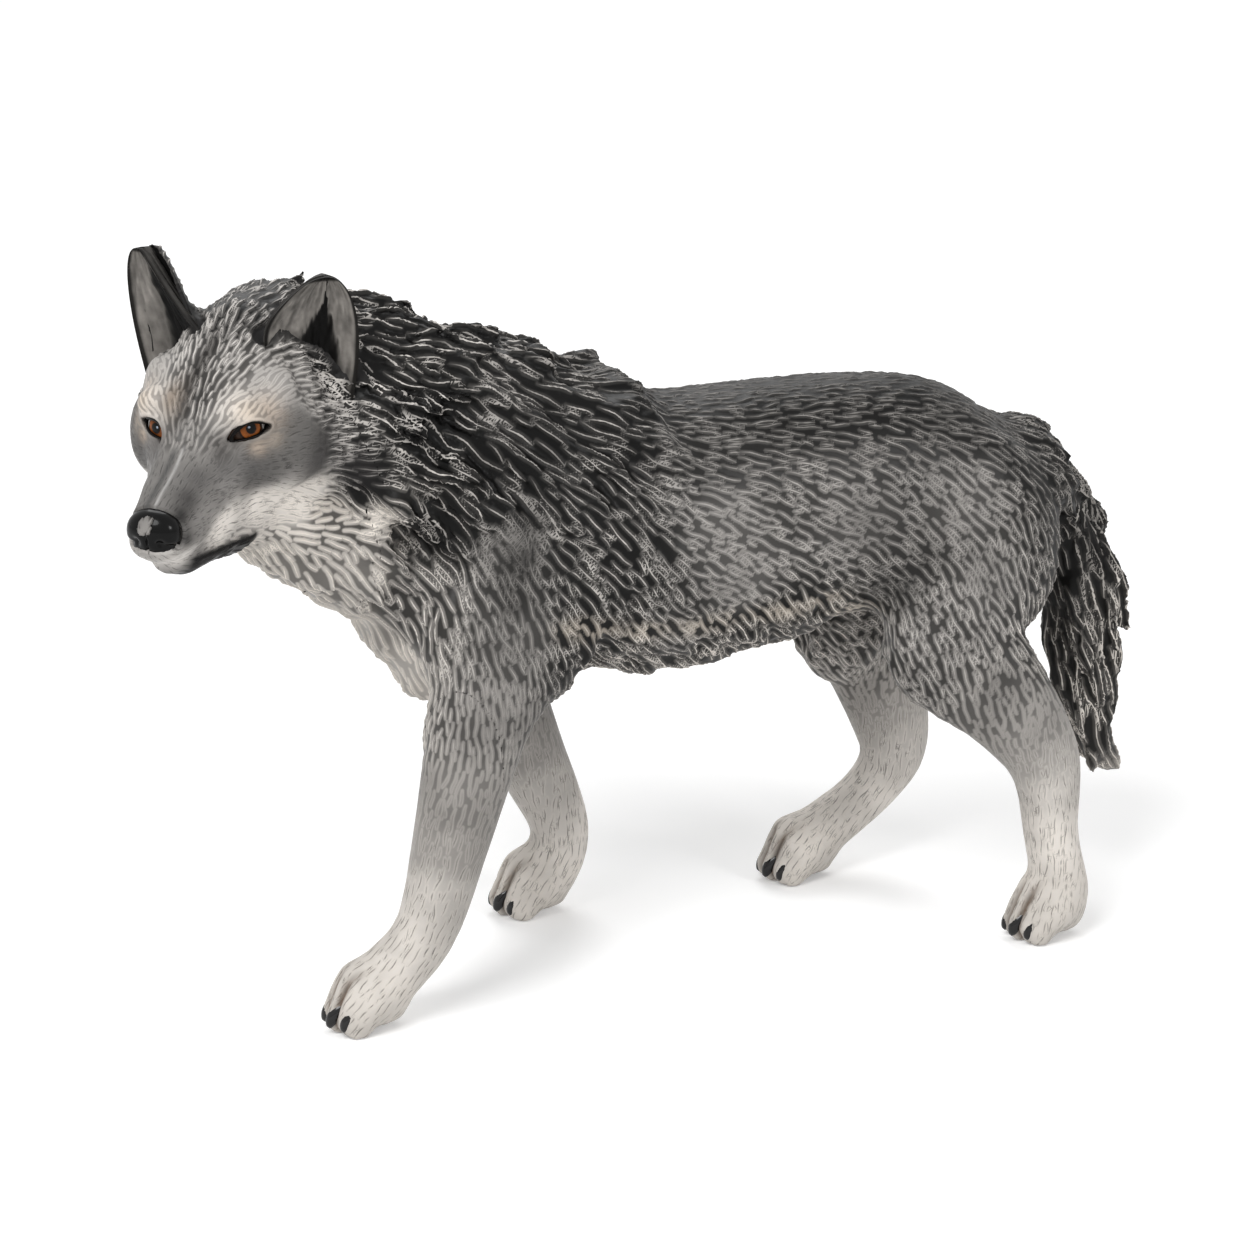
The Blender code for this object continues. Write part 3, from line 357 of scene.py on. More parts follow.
class Skin:
    """Points, normals and quads of the coat, as arrays."""

    def __init__(self, points, normals, quads, owned):
        self.points = points
        self.normals = normals
        self.quads = quads
        self.owned = owned

    def renew_normals(self):
        """Vertex normals from the quads around each point."""
        corner = self.points[self.quads]
        face = np.cross(corner[:, 2] - corner[:, 0], corner[:, 3] - corner[:, 1])
        total = np.zeros_like(self.points)
        for axis in range(3):
            weights = np.repeat(face[:, axis], 4)
            total[:, axis] = np.bincount(self.quads.ravel(), weights, len(self.points))
        self.normals = unit(total)

    def push(self, amount):
        self.points = self.points + self.normals * amount[:, None]

    def relax(self, values, times, weight=1.0):
        """Evens values out over neighbouring points."""
        ends = np.concatenate([self.quads.ravel(), np.roll(self.quads, 1, axis=1).ravel()])
        others = np.concatenate([np.roll(self.quads, 1, axis=1).ravel(), self.quads.ravel()])
        count = np.maximum(np.bincount(ends, minlength=len(self.points)), 1)
        weight = np.broadcast_to(weight, len(self.points))[:, None]
        for _ in range(times):
            mean = np.stack([np.bincount(ends, values[others, k], len(self.points)) / count
                             for k in range(values.shape[1])], axis=1)
            values = values + 0.6 * weight * (mean - values)
        return values


def even_copy(node, step):
    """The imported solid's surface as even quads of the given edge length."""
    skin = node.copy()
    skin.data = node.data.copy()
    bpy.context.scene.collection.objects.link(skin)
    weld = skin.modifiers.new("weld", "WELD")
    weld.merge_threshold = 1e-6
    rounded = skin.modifiers.new("rounded", "SUBSURF")
    rounded.levels = 1
    rounded.render_levels = 1
    remesh = skin.modifiers.new("even", "REMESH")
    remesh.mode = "VOXEL"
    remesh.voxel_size = step * MM
    soft = skin.modifiers.new("soft", "SMOOTH")
    soft.factor = 0.5
    soft.iterations = round(SOFTENING * (0.3 / step) ** 2)
    graph = bpy.context.evaluated_depsgraph_get()
    mesh = bpy.data.meshes.new_from_object(skin.evaluated_get(graph))
    bpy.data.objects.remove(skin)
    points = np.empty(len(mesh.vertices) * 3)
    mesh.vertices.foreach_get("co", points)
    normals = np.empty(len(mesh.vertices) * 3)
    mesh.vertex_normals.foreach_get("vector", normals)
    quads = np.empty(len(mesh.polygons) * 4, int)
    mesh.polygons.foreach_get("vertices", quads)
    bpy.data.meshes.remove(mesh)
    points = points.reshape(-1, 3) / MM - PAW_MIDDLE
    return points, normals.reshape(-1, 3), quads.reshape(-1, 4)


def on_face(points):
    """How far points are ahead of the ears, in head coordinates."""
    return to_head(points)[:, 0] - FACE_BACK


def whole_skin(node):
    """The body with a finer patch over the face. Patches overlap by a margin that is dropped later."""
    parts = []
    for step, sign in ((BODY_STEP, -1), (FACE_STEP, 1)):
        points, normals, quads = even_copy(node, step)
        ahead = sign * on_face(points[quads].mean(axis=1))
        quads = quads[ahead > -PATCH_MARGIN]
        owned = ahead[ahead > -PATCH_MARGIN] >= 0
        used, inverse = np.unique(quads, return_inverse=True)
        parts.append((points[used], normals[used], inverse.reshape(-1, 4), owned))
    shift = len(parts[0][0])
    return Skin(np.vstack([parts[0][0], parts[1][0]]), np.vstack([parts[0][1], parts[1][1]]),
                np.vstack([parts[0][2], parts[1][2] + shift]), np.concatenate([parts[0][3], parts[1][3]]))


def tree_of(points):
    tree = KDTree(len(points))
    for i, point in enumerate(points):
        tree.insert(point, i)
    tree.balance()
    return tree


def coat_guides():
    """All guides on their sides, in the wolf's frame."""
    places, ways, looks = [], [], []
    for table, matrix in ((BODY_COAT, np.eye(4)), (HEAD_COAT, HEAD)):
        left = 1 if matrix is HEAD else -1
        for sides, x, y, z, along, out, up, *look in table:
            for side in sides:
                sign = left if side == "L" else -left
                places.append(matrix[:3, :3] @ (x, sign * y, z) + matrix[:3, 3])
                ways.append(matrix[:3, :3] @ (along, sign * out, up))
                looks.append(look)
    return np.array(places), unit(np.array(ways)), np.array(looks, float)


def spread_coat(skin):
    """Blends the guides over the skin: the way of the hair and the seven looks at every point."""
    places, ways, looks = coat_guides()
    flow = np.empty_like(skin.points)
    look = np.empty((len(skin.points), looks.shape[1]))
    squares = dot(places, places)
    for start in range(0, len(skin.points), 40000):
        part = slice(start, start + 40000)
        points = skin.points[part]
        gaps = dot(points, points)[:, None] + squares - 2 * points @ places.T
        weights = (np.maximum(gaps, 0) + 1.5) ** -2.2
        weights /= weights.sum(axis=1, keepdims=True)
        flow[part] = weights @ ways
        look[part] = weights @ looks
    flow -= dot(flow, skin.normals)[:, None] * skin.normals
    return unit(flow), look


def scatter(points, spacing, rng):
    """One point in each cell, where the cells are as wide as the spacing there."""
    order = rng.permutation(len(points))
    chosen = []
    levels = np.round(np.log(spacing) / math.log(1.2)).astype(int)
    for level in np.unique(levels):
        members = order[levels[order] == level]
        cells = np.floor(points[members] / 1.2**level).astype(int)
        _, first = np.unique(cells, axis=0, return_index=True)
        chosen.append(members[first])
    return np.concatenate(chosen)


def comb(skin, flow, tree, seeds, length, wave, rng):
    """Strands that run over the skin from the seeds: their points, directions and normals."""
    count = len(seeds)
    step = length[seeds] * rng.uniform(0.7, 1.3, count) / (STRAND_POINTS - 1)
    place = skin.points[seeds].copy()
    phase = rng.uniform(0, 2 * math.pi, count)
    lean = rng.normal(0, 0.10, count)
    at = seeds.copy()
    rows = []
    for k in range(STRAND_POINTS):
        normal = skin.normals[at]
        bend = lean + wave[at] * np.sin(phase + k * 1.2)
        side = np.cross(normal, flow[at])
        way = flow[at] * np.cos(bend)[:, None] + side * np.sin(bend)[:, None]
        rows.append(np.hstack([place, way, normal]))
        place = place + way * step[:, None]
        at = np.array([tree.find(p)[1] for p in place])
        place = place - dot(place - skin.points[at], skin.normals[at])[:, None] * skin.normals[at]
    return np.stack(rows, axis=1)


def space_out(strands, gaps, rng):
    """Cuts and drops strands in random order until none runs beside another."""
    count = len(strands)
    at = np.linspace(0, STRAND_POINTS - 1.001, STRAND_SAMPLES)
    low = at.astype(int)
    share = (at - low)[:, None]
    rows = strands[:, low] * (1 - share) + strands[:, low + 1] * share
    side = np.cross(rows[..., 6:9], rows[..., 3:6]) * 0.38 * gaps[:, None, None]
    level = np.round(np.log(gaps * 0.62) / math.log(1.2)).astype(int)
    cell = 1.2 ** level[:, None, None]
    keys = []
    for shift in (0, -1, 1):
        spot = np.floor((rows[..., :3] + shift * side) / cell).astype(np.int64) + 4096
        code = ((level[:, None] + 40) * 8192 + spot[..., 0]) * 8192 + spot[..., 1]
        keys.append((code * 8192 + spot[..., 2]).tolist())
    taken = set()
    kept = []
    for i in rng.permutation(count).tolist():
        best, start = (0, 0), 0
        free = [key not in taken for key in keys[0][i]] + [False]
        for j, is_free in enumerate(free):
            if not is_free:
                best = max(best, (j - start, start))
                start = j + 1
        run, first = best
        if run >= SHORTEST_RUN:
            for group in keys:
                taken.update(group[i][first:first + run])
            kept.append((i, at[first], at[first + run - 1]))
    index, first, last = (np.array(values) for values in zip(*kept))
    at = first[:, None] + (last - first)[:, None] * np.linspace(0, 1, STRAND_POINTS)
    low = at.astype(int)
    share = (at - low)[..., None]
    index = index[:, None]
    return strands[index, low] * (1 - share) + strands[index, low + 1] * share


def nearest_strand(points, normals, strands):
    """For each point: strand index, share along it, signed gap across it and plain gap."""
    count = strands.shape[0]
    place, side = strands[:, :, :3], np.cross(strands[:, :, 6:9], strands[:, :, 3:6]) * 0.02
    corners = np.stack([place - side, place + side], axis=2).reshape(-1, 3)
    base = np.arange(count)[:, None] * STRAND_POINTS * 2 + np.arange(STRAND_POINTS - 1) * 2
    ribbon = np.stack([base, base + 1, base + 3, base + 2], axis=2).reshape(-1, 4)
    tree = BVHTree.FromPolygons(corners.tolist(), ribbon.tolist())
    find = tree.find_nearest
    hits = [find(p) for p in points.tolist()]
    index = np.array([hit[2] for hit in hits])
    strand, k = np.divmod(index, STRAND_POINTS - 1)
    start, end = place[strand, k], place[strand, k + 1]
    span = end - start
    length = np.maximum(np.linalg.norm(span, axis=1), 1e-6)
    way = span / length[:, None]
    offset = points - start
    offset = offset - dot(offset, normals)[:, None] * normals
    run = np.clip(dot(offset, way) / length, 0, 1)
    across = dot(offset, np.cross(normals, way))
    gap = np.linalg.norm(offset - way * (run * length)[:, None], axis=1)
    return strand, (k + run) / (STRAND_POINTS - 1), across, gap


def ear_grid(shape, columns, rows):
    """Front surface of an ear in head coordinates, and the direction in which it opens."""
    inner = np.array((EAR_INNER[0], shape.side * shape.inner_out, EAR_INNER[2]))
    outer = np.array((EAR_OUTER[0], shape.side * EAR_OUTER[1], EAR_OUTER[2]))
    base = (inner + outer) / 2
    top = base[2] + EAR_HEIGHT + shape.lift
    tip = np.array((inner[0] - shape.tip_back, shape.side * shape.tip_out, top))
    open_way = unit(np.array((0.79, shape.side * 0.61, 0.05)))
    v, u = np.meshgrid(1 - np.linspace(1, 0, rows) ** 1.8, np.linspace(-1, 1, columns), indexing="ij")
    across = np.tile(outer - inner, (rows, columns, 1))
    across[..., 2] *= (1 - v) ** 1.5
    across = unit(across)
    taper = np.where(u < 0, np.maximum(0.0, 1 - v**shape.shoulder) ** shape.point, np.sqrt(1 - v**3.2))
    half = EAR_WIDTH / 2 * taper * (1.0 - 0.25 * v)
    half = half * np.where(u < 0, shape.inner_base - shape.inner_taper * v, 1.0)
    cup = EAR_CUP_DEPTH * (1 - u * u) * (1 - 0.6 * v) * taper
    middle = base + (tip - base) * v[..., None]
    return middle + across * (half * u)[..., None] - open_way * cup[..., None], open_way, u, v


EAR_FIELDS = "side inner_out tip_back tip_out lift inner_base inner_taper hollow hollow_top shoulder point"
Ear = namedtuple("Ear", EAR_FIELDS)
EARS = {
    "left": Ear(1, 3.9, 4.2, 8.5, -0.4, 1.12, -0.06, 0.2, 0.68, 3.2, 0.5),
    "right": Ear(-1, 2.4, 4.2, 10.0, 0.5, 1.35, 0.45, -0.1, 1.3, 1.7, 0.7),
}


def ear_cover(points):
    """How surely each point belongs to an ear, from 0 to 1."""
    cover = np.zeros(len(points))
    near_head = np.flatnonzero(np.linalg.norm(to_head(points) - EARS_MIDDLE, axis=1) < EARS_REACH)
    for shape in EARS.values():
        front, open_way, _, _ = ear_grid(shape, COVER_COLUMNS, COVER_ROWS)
        middle = from_head((front - open_way * EAR_THICKNESS / 2)[COVER_FROM_ROW:].reshape(-1, 3))
        tree = tree_of(middle)
        gaps = np.array([tree.find(p)[2] for p in points[near_head]])
        cover[near_head] = np.maximum(cover[near_head], 1 - smoothstep(0.8, 1.35, gaps))
    return cover


def sculpt_paws(skin):
    """Deepens the clefts between the toes. Returns how deep each point is in one."""
    cleft = np.zeros(len(skin.points))
    x, y, z = skin.points.T
    for paw_x, side in PAWS:
        for place in CLEFT_PLACES:
            near = np.exp(-((y - side * TRACK_HALF_WIDTH - place * TOE_SPREAD) / 0.34) ** 2)
            near *= smoothstep(paw_x + 1.0, paw_x - 1.0, x) * (np.abs(x - paw_x) < 7)
            near *= smoothstep(7.0, 4.6, z)
            cleft = np.maximum(cleft, near)
    skin.push(-CLEFT_DEPTH * cleft)
    return cleft


def above_lip(head):
    """Height over the line of the lower lip, which falls from the chin to the corner of the mouth."""
    return head[:, 2] + 9.15 + 0.16 * (10 - head[:, 0])


# Swellings and hollows on both sides of the head: place, reach and height
FACE_FORMS = [
    ((0.9, 4.6, 3.0), (1.6, 1.9, 0.9), 0.45),
    ((2.6, 3.9, 0.1), (1.5, 1.3, 1.2), -0.9),
    ((3.2, 3.6, -2.4), (2.2, 1.2, 1.6), -0.35),
    ((-6.9, 7.6, 3.0), (1.5, 2.2, 1.6), -1.1),
    ((-1.0, 6.4, -3.0), (2.4, 1.4, 1.5), 0.35),
    ((-8.0, 1.0, 8.0), (3.2, 1.6, 2.6), 0.8),
    ((8.6, 2.9, -4.2), (1.8, 1.0, 0.9), -0.3),
    ((8.6, 2.9, -6.8), (2.2, 1.2, 1.0), 0.3),
]


def sculpt_face(skin):
    """Eye sockets, brows, lips and the furrow of the forehead."""
    head = to_head(skin.points)
    lift = np.zeros(len(head))
    for side in (1, -1):
        for place, reach, height in FACE_FORMS:
            lift += height * bell(head * (1, side, 1), place, reach)
    x, y, z = head.T
    lip = smoothstep(1.0, 0.3, above_lip(head)) * smoothstep(-2.5, 0.0, x)
    lip *= smoothstep(9.0, 7.0, x) * smoothstep(-3.0, -2.0, above_lip(head))
    lift += 0.5 * lip
    furrow = np.exp(-(y / 0.7) ** 2) * smoothstep(4.5, 2.0, x) * (z > 0)
    lift -= 0.45 * furrow * smoothstep(-9, -6, x)
    ridge = np.exp(-(y / 0.35) ** 2) * smoothstep(3.0, 4.5, x) * (z > -4)
    lift += 0.14 * ridge * smoothstep(11.0, 9.5, x)
    skin.push(lift)


Eye = namedtuple("Eye", "place facing outward gaze white")
EYES = {
    "left": Eye((0.87, 5.41, 1.07), (0.62, 0.76, 0.18), (-2.6, 2.3, 0.6), (-0.05, -0.05), 1.15),
    "right": Eye((1.44, -4.11, 0.48), (0.85, -0.45, 0.25), (-2.6, -2.3, 0.6), (-0.35, -0.15), 0.7),
}
LID = np.array([(-1.96, -0.54), (-1.15, 0.3), (-0.31, 0.63), (0.56, 0.4), (1.23, -0.08), (1.8, -0.57),
                (1.2, -0.81), (0.33, -0.88), (-0.69, -0.79)])
EYE_RADIUS = 2.1


def eye_axes(eye):
    """Centre, the way to the outer corner, up and facing, in the wolf's frame."""
    facing = unit(np.array(eye.facing, float))
    along = np.array(eye.outward, float)
    along = unit(along - along @ facing * facing)
    up = np.cross(facing, along)
    up = up if up[2] > 0 else -up
    turn = HEAD[:3, :3]
    return from_head(eye.place), turn @ along, turn @ up, turn @ facing


def closed_curve(points, steps):
    """A smooth closed curve through the points."""
    rows = []
    count = len(points)
    for i in range(count):
        a, b, c, d = (points[(i + k - 1) % count] for k in range(4))
        for t in np.arange(steps) / steps:
            rows.append(0.5 * (2 * b + (c - a) * t + (2 * a - 5 * b + 4 * c - d) * t**2
                               + (3 * b - a - 3 * c + d) * t**3))
    return np.array(rows)


def inside_curve(points, curve):
    """Signed distance to a closed flat curve: negative inside."""
    gap = np.full(len(points), 1e9)
    inside = np.zeros(len(points), bool)
    for a, b in zip(curve, np.roll(curve, -1, axis=0)):
        span = b - a
        share = np.clip(((points - a) @ span) / (span @ span), 0, 1)
        gap = np.minimum(gap, np.linalg.norm(points - a - share[:, None] * span, axis=1))
        crosses = (a[1] > points[:, 1]) != (b[1] > points[:, 1])
        slope = (points[:, 1] - a[1]) / (span[1] if span[1] else 1e-9)
        inside ^= crosses & (points[:, 0] < a[0] + slope * span[0])
    return np.where(inside, -gap, gap)


def open_eyes(skin):
    """Sinks the skin inside the lids. Returns the distance of each point from the nearest lid edge."""
    lid_gap = np.full(len(skin.points), 9.0)
    curve = closed_curve(LID, 6)
    for eye in EYES.values():
        centre, along, up, facing = eye_axes(eye)
        offset = skin.points - centre
        near = np.flatnonzero(dot(offset, offset) < 25)
        flat = np.stack([offset[near] @ along, offset[near] @ up], axis=1)
        depth = offset[near] @ facing
        gap = inside_curve(flat, curve)
        ball = np.sqrt(np.maximum(EYE_RADIUS**2 - dot(flat, flat), 0)) - EYE_RADIUS
        sunk = smoothstep(0.12, -0.12, gap)
        swell = 0.28 * np.exp(-((gap - 0.25) / 0.35) ** 2)
        skin.points[near] += facing * ((ball - 1.2 - depth) * sunk + swell)[:, None]
        keep = np.minimum(lid_gap[near], gap)
        lid_gap[near] = keep
    return lid_gap


def tinted(tone, cream):
    """Neutral greys that turn to cream by their share."""
    neutral = np.array((1.04, 0.99, 0.94))
    creamy = np.array((1.05, 0.965, 0.86))
    return linear(tone)[:, None] * (neutral + np.asarray(cream)[:, None] * (creamy - neutral))


def coarseness(look):
    """How much of the mane's coarseness, and how much of the face's calm, the hair has."""
    return smoothstep(0.08, 0.24, look[:, 2]), 1 - smoothstep(0.055, 0.125, look[:, 2])


def blend(colours, target, share, parts=(0, 1, 2), scale=(0.55, 1.0, 1.25)):
    """Draws the chosen layers towards a screen colour, by a share at every point."""
    target = linear(target)
    for i in parts:
        goal = np.minimum(target * scale[i], 0.9)
        colours[i] += share[:, None] * (goal - colours[i])


def paint_body(colours, points):
    """Airbrushed dark of the back and rump, painted shade in the folds, and the pale edge of the belly, on
    both sides.
    """
    sides = (points, points * (1, -1, 1))
    for shade in DARK_PAINT_AND_PAINTED_SHADE:
        for at in sides:
            share = bell(at, (shade.x, -shade.y, shade.z), shade.reach)
            for colour in colours:
                colour *= (1 - share * (1 - shade.left))[:, None]
    for x, y, z in FRINGE:
        for at in sides:
            blend(colours, (188, 178, 165), 0.6 * bell(at, (x, -y, z), (2.4, 1.6, 0.9)), (1, 2))


def paint_head(colours, head):
    """Marks, the stripe of the forehead, the ridge of the muzzle and the lips."""
    for mark in FACE_MARKS:
        for side in (1, -1):
            if side < 0 and mark.x > MUZZLE_START:
                continue
            share = mark.strength * bell(head * (1, side, 1), mark[:3], mark.reach)
            blend(colours, mark.colour, share)
    x, y, z = head.T
    stripe = np.exp(-((y + 0.9 + 0.1 * x) / 0.65) ** 2) * smoothstep(4.0, 1.5, x)
    stripe *= smoothstep(-7.0, -4.0, x) * (z > 0)
    blend(colours, (46, 43, 41), 0.85 * stripe)
    blend(colours, (112, 98, 84), 0.8 * bell(head, (1.2, -2.3, 3.2), (2.2, 1.0, 1.8)))
    ridge = np.exp(-((y - 0.1) / 0.13) ** 2) * smoothstep(3.5, 5.0, x) * (z > -4)
    ridge *= smoothstep(11.2, 10.4, x)
    blend(colours, (190, 188, 186), 0.6 * ridge, scale=EVEN)
    beside = np.exp(-((y + 0.7) / 0.35) ** 2) * smoothstep(3.5, 5.0, x) * (z > -4)
    blend(colours, (70, 70, 70), 0.7 * beside * smoothstep(11.5, 10.8, x))
    lips = smoothstep(0.75, 0.45, above_lip(head)) * smoothstep(-1.9, -0.9, x)
    lips *= smoothstep(8.8, 7.8, x) * smoothstep(-3.0, -2.0, above_lip(head))
    blend(colours, (22, 21, 21), lips, scale=EVEN)


def coat_layers(skin, look, cleft, lid_gap, ear):
    """Colours of groove, coat and crest at every point."""
    groove, coat, crest, cream = look[:, 3:].T
    coarse, calm = coarseness(look)
    # The groove colour is partly dark paint run into the grooves and partly painted shade in them.
    groove_wash_and_shade = groove * between(GROOVE_TONE, coarse * (1 - 0.8 * cream))
    crest = np.minimum(crest * between(CREST_TONE, coarse), 238)
    ground = coat * between(COAT_TONE, coarse)
    colours = [tinted(groove_wash_and_shade + (ground - groove_wash_and_shade) * calm, cream * 0.6), tinted(ground, cream * 0.8),
               tinted(crest + (groove * CALM_STROKE - crest) * calm, cream)]
    paint_body(colours, skin.points)
    paint_head(colours, to_head(skin.points))
    blend(colours, (14, 12, 11), 1 - smoothstep(0.02, 0.22, lid_gap), scale=EVEN)
    # Painted shade: the clefts between the toes are darkened to a brown grey.
    blend(colours, (92, 74, 58), 0.85 * cleft)
    # Painted shade: the skin hidden under the ears turns near black.
    blend(colours, (26, 25, 25), ear)
    return colours


def paint_layer(mesh, name, colours):
    layer = mesh.color_attributes.new(name, "FLOAT_COLOR", "POINT")
    rgba = np.ones((len(colours), 4), np.float32)
    rgba[:, :3] = colours
    layer.data.foreach_set("color", rgba.ravel())


class Nodes:
    """Short calls for building a material."""

    def __init__(self, name):
        self.material = bpy.data.materials.new(name)
        self.material.use_nodes = True
        self.tree = self.material.node_tree
        self.shader = self.tree.nodes["Principled BSDF"]

    def add(self, kind, **settings):
        node = self.tree.nodes.new(kind)
        for key, value in settings.items():
            setattr(node, key, value)
        return node

    def feed(self, socket, value):
        if isinstance(value, bpy.types.NodeSocket):
            self.tree.links.new(value, socket)
        else:
            socket.default_value = value

    def math(self, operation, *values):
        node = self.add("ShaderNodeMath", operation=operation)
        for socket, value in zip(node.inputs, values):
            self.feed(socket, value)
        return node.outputs[0]

    def remap(self, value, low, high, first=0.0, last=1.0):
        node = self.add("ShaderNodeMapRange", interpolation_type="SMOOTHSTEP")
        for socket, number in zip(node.inputs, (value, low, high, first, last)):
            self.feed(socket, number)
        return node.outputs[0]

    def mix(self, share, first, second, blend="MIX"):
        node = self.add("ShaderNodeMix", data_type="RGBA", blend_type=blend)
        self.feed(node.inputs[0], share)
        self.feed(node.inputs[6], first)
        self.feed(node.inputs[7], second)
        return node.outputs[2]

    def noise(self, scale, detail=2.0, roughness=0.5):
        node = self.add("ShaderNodeTexNoise")
        node.inputs["Scale"].default_value = scale
        node.inputs["Detail"].default_value = detail
        node.inputs["Roughness"].default_value = roughness
        place = self.add("ShaderNodeTexCoord")
        self.feed(node.inputs["Vector"], place.outputs["Object"])
        return node.outputs["Fac"]

    def attribute(self, name, output="Fac"):
        return self.add("ShaderNodeAttribute", attribute_name=name).outputs[output]

    def scaled(self, colour, amount):
        """The colour, made lighter or darker by an amount."""
        tint = self.add("ShaderNodeCombineColor")
        for socket in tint.inputs[:3]:
            self.feed(socket, amount)
        return self.mix(1.0, colour, tint.outputs[0], "MULTIPLY")

    def bump(self, height, strength, distance):
        node = self.add("ShaderNodeBump")
        node.inputs["Strength"].default_value = strength
        node.inputs["Distance"].default_value = distance * MM
        self.feed(node.inputs["Height"], height)
        self.feed(self.shader.inputs["Normal"], node.outputs["Normal"])


def coat_material():
    """Airbrushed coat with dry-brushed light crests, darker in the grooves from dark paint run into them and
    from painted shade between strands and locks.

    The strand layer holds half the signed gap in millimetres across the nearest strand, about 0.5, then
    the plain gap in millimetres and the height of its crest.
    """
    n = Nodes("painted_coat")
    strand = n.add("ShaderNodeSeparateColor")
    n.feed(strand.inputs[0], n.attribute("strand", "Color"))
    across = n.math("MULTIPLY", n.math("ABSOLUTE", n.math("SUBTRACT", strand.outputs[0], 0.5)), 2.0)
    gap, top = strand.outputs[1], strand.outputs[2]
    grain = n.math("MULTIPLY", n.math("SUBTRACT", n.noise(1500, 3.0), 0.5), 0.12)
    across = n.math("ADD", across, grain)
    line = n.remap(across, CREST_WIDTH * 0.6, CREST_WIDTH * 1.5, 1.0, 0.0)
    near = n.remap(gap, 0.17, 0.27, 1.0, 0.0)
    crest = n.math("MULTIPLY", n.math("MULTIPLY", line, near), top)
    spread = n.attribute("valley")
    # Painted shade with the dark paint of the grooves: darker as the valley share grows.
    wash_and_shade = n.remap(n.math("ADD", spread, grain), 0.42, 1.05)
    colour = n.mix(wash_and_shade, n.attribute("coat", "Color"), n.attribute("groove", "Color"))
    colour = n.mix(crest, colour, n.attribute("crest", "Color"))
    blotch = n.remap(n.noise(160, 3.0), 0.35, 0.65, 0.88, 1.1)
    n.feed(n.shader.inputs["Base Color"], n.scaled(colour, blotch))
    n.feed(n.shader.inputs["Roughness"], n.remap(wash_and_shade, 0.0, 1.0, 0.5, 0.36))
    n.shader.inputs["Specular IOR Level"].default_value = 0.12
    relief = n.math("ADD", n.math("MULTIPLY", crest, 0.6), n.math("MULTIPLY", n.noise(3400, 2.0), 0.3))
    n.bump(relief, 0.6, 0.09)
    return n.material


def painted_material(name, roughness, bump_scale=0.0, coat=0.0):
    """Paint whose colour lies on the mesh, with a fine grain."""
    n = Nodes(name)
    grain = n.remap(n.noise(1800, 3.0), 0.3, 0.7, 0.9, 1.06)
    n.feed(n.shader.inputs["Base Color"], n.scaled(n.attribute("paint", "Color"), grain))
    n.shader.inputs["Roughness"].default_value = roughness
    n.shader.inputs["Specular IOR Level"].default_value = 0.08
    n.shader.inputs["Coat Weight"].default_value = coat
    n.shader.inputs["Coat Roughness"].default_value = 0.08
    if bump_scale:
        n.bump(n.noise(1500, 3.0), 0.5, bump_scale)
    return n.material


def new_piece(name, points, faces, material, layers, normals=None):
    """A riding visible piece in millimetres of the wolf's frame."""
    mesh = bpy.data.meshes.new(name)
    low, high = (np.array(corner) for corner in CAD_BOX)
    places = np.clip((points + PAW_MIDDLE) * MM, low, high)
    mesh.from_pydata(places.tolist(), [], faces.tolist())
    mesh.shade_smooth()
    if normals is not None:
        mesh.normals_split_custom_set_from_vertices(normals.tolist())
    for layer, colours in layers.items():
        paint_layer(mesh, layer, colours)
    mesh.materials.append(material)
    piece = bpy.data.objects.new(name, mesh)
    bpy.context.scene.collection.objects.link(piece)
    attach(piece, "root")
    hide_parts("wolf")
    return piece


def grid_faces(rows, columns, shift=0, wrap=False):
    """Quads of a grid of points. With wrap the last column joins the first."""
    last = columns if wrap else columns - 1
    i, j = np.meshgrid(np.arange(rows - 1), np.arange(last), indexing="ij")
    right = (j + 1) % columns
    here, below = i * columns, (i + 1) * columns
    quads = np.stack([here + j, here + right, below + right, below + j], axis=2)
    return quads.reshape(-1, 4) + shift


def ball_grid(radii, spokes):
    """Radii or angles down the rows and turns across the columns of a round grid."""
    return np.meshgrid(radii, np.arange(spokes) * 2 * math.pi / spokes, indexing="ij")


def shaped_skin(node):
    """The skin with paws, face and eyes sculpted: also clefts, distance from the lids and ear cover."""
    skin = whole_skin(node)
    cleft = sculpt_paws(skin)
    sculpt_face(skin)
    skin.renew_normals()
    ear = ear_cover(skin.points)
    skin.push(-EAR_ROOM * ear)
    lid_gap = open_eyes(skin)
    skin.renew_normals()
    return skin, cleft, lid_gap, ear


def raise_locks(skin, flow, shaggy, rng):
    """Coarse tapered locks under the strands of the mane and tail. Returns the new flow and mounds."""
    tree = tree_of(skin.points)
    seeds = scatter(skin.points, np.full(len(skin.points), LOCK_SPACING), rng)
    seeds = seeds[shaggy[seeds] > 0.05]
    flat = np.ones(len(skin.points))
    locks = comb(skin, flow, tree, seeds, LOCK_LENGTH * flat, LOCK_WAVE * flat, rng)
    _, share, across, gap = nearest_strand(skin.points, skin.normals, locks)
    width = LOCK_WIDTH / 2 * np.clip(0.4 + 2 * share, 0, 1) * np.clip((1.05 - share) * 2.2, 0.15, 1)
    mound = np.clip(1 - (gap / width) ** 2, 0, 1) ** 1.5 * smoothstep(0.0, 0.6, share)
    side = np.cross(skin.normals, flow)
    lean = 0.6 * np.clip(across / (LOCK_WIDTH / 2), -1, 1) * share * shaggy * (gap < LOCK_WIDTH)
    flow = unit(flow - side * lean[:, None])
    skin.push((LOCK_RISE * mound - LOCK_DEPTH) * shaggy)
    skin.renew_normals()
    skin.normals = unit(skin.relax(skin.normals, 4))
    return unit(flow - dot(flow, skin.normals)[:, None] * skin.normals), mound


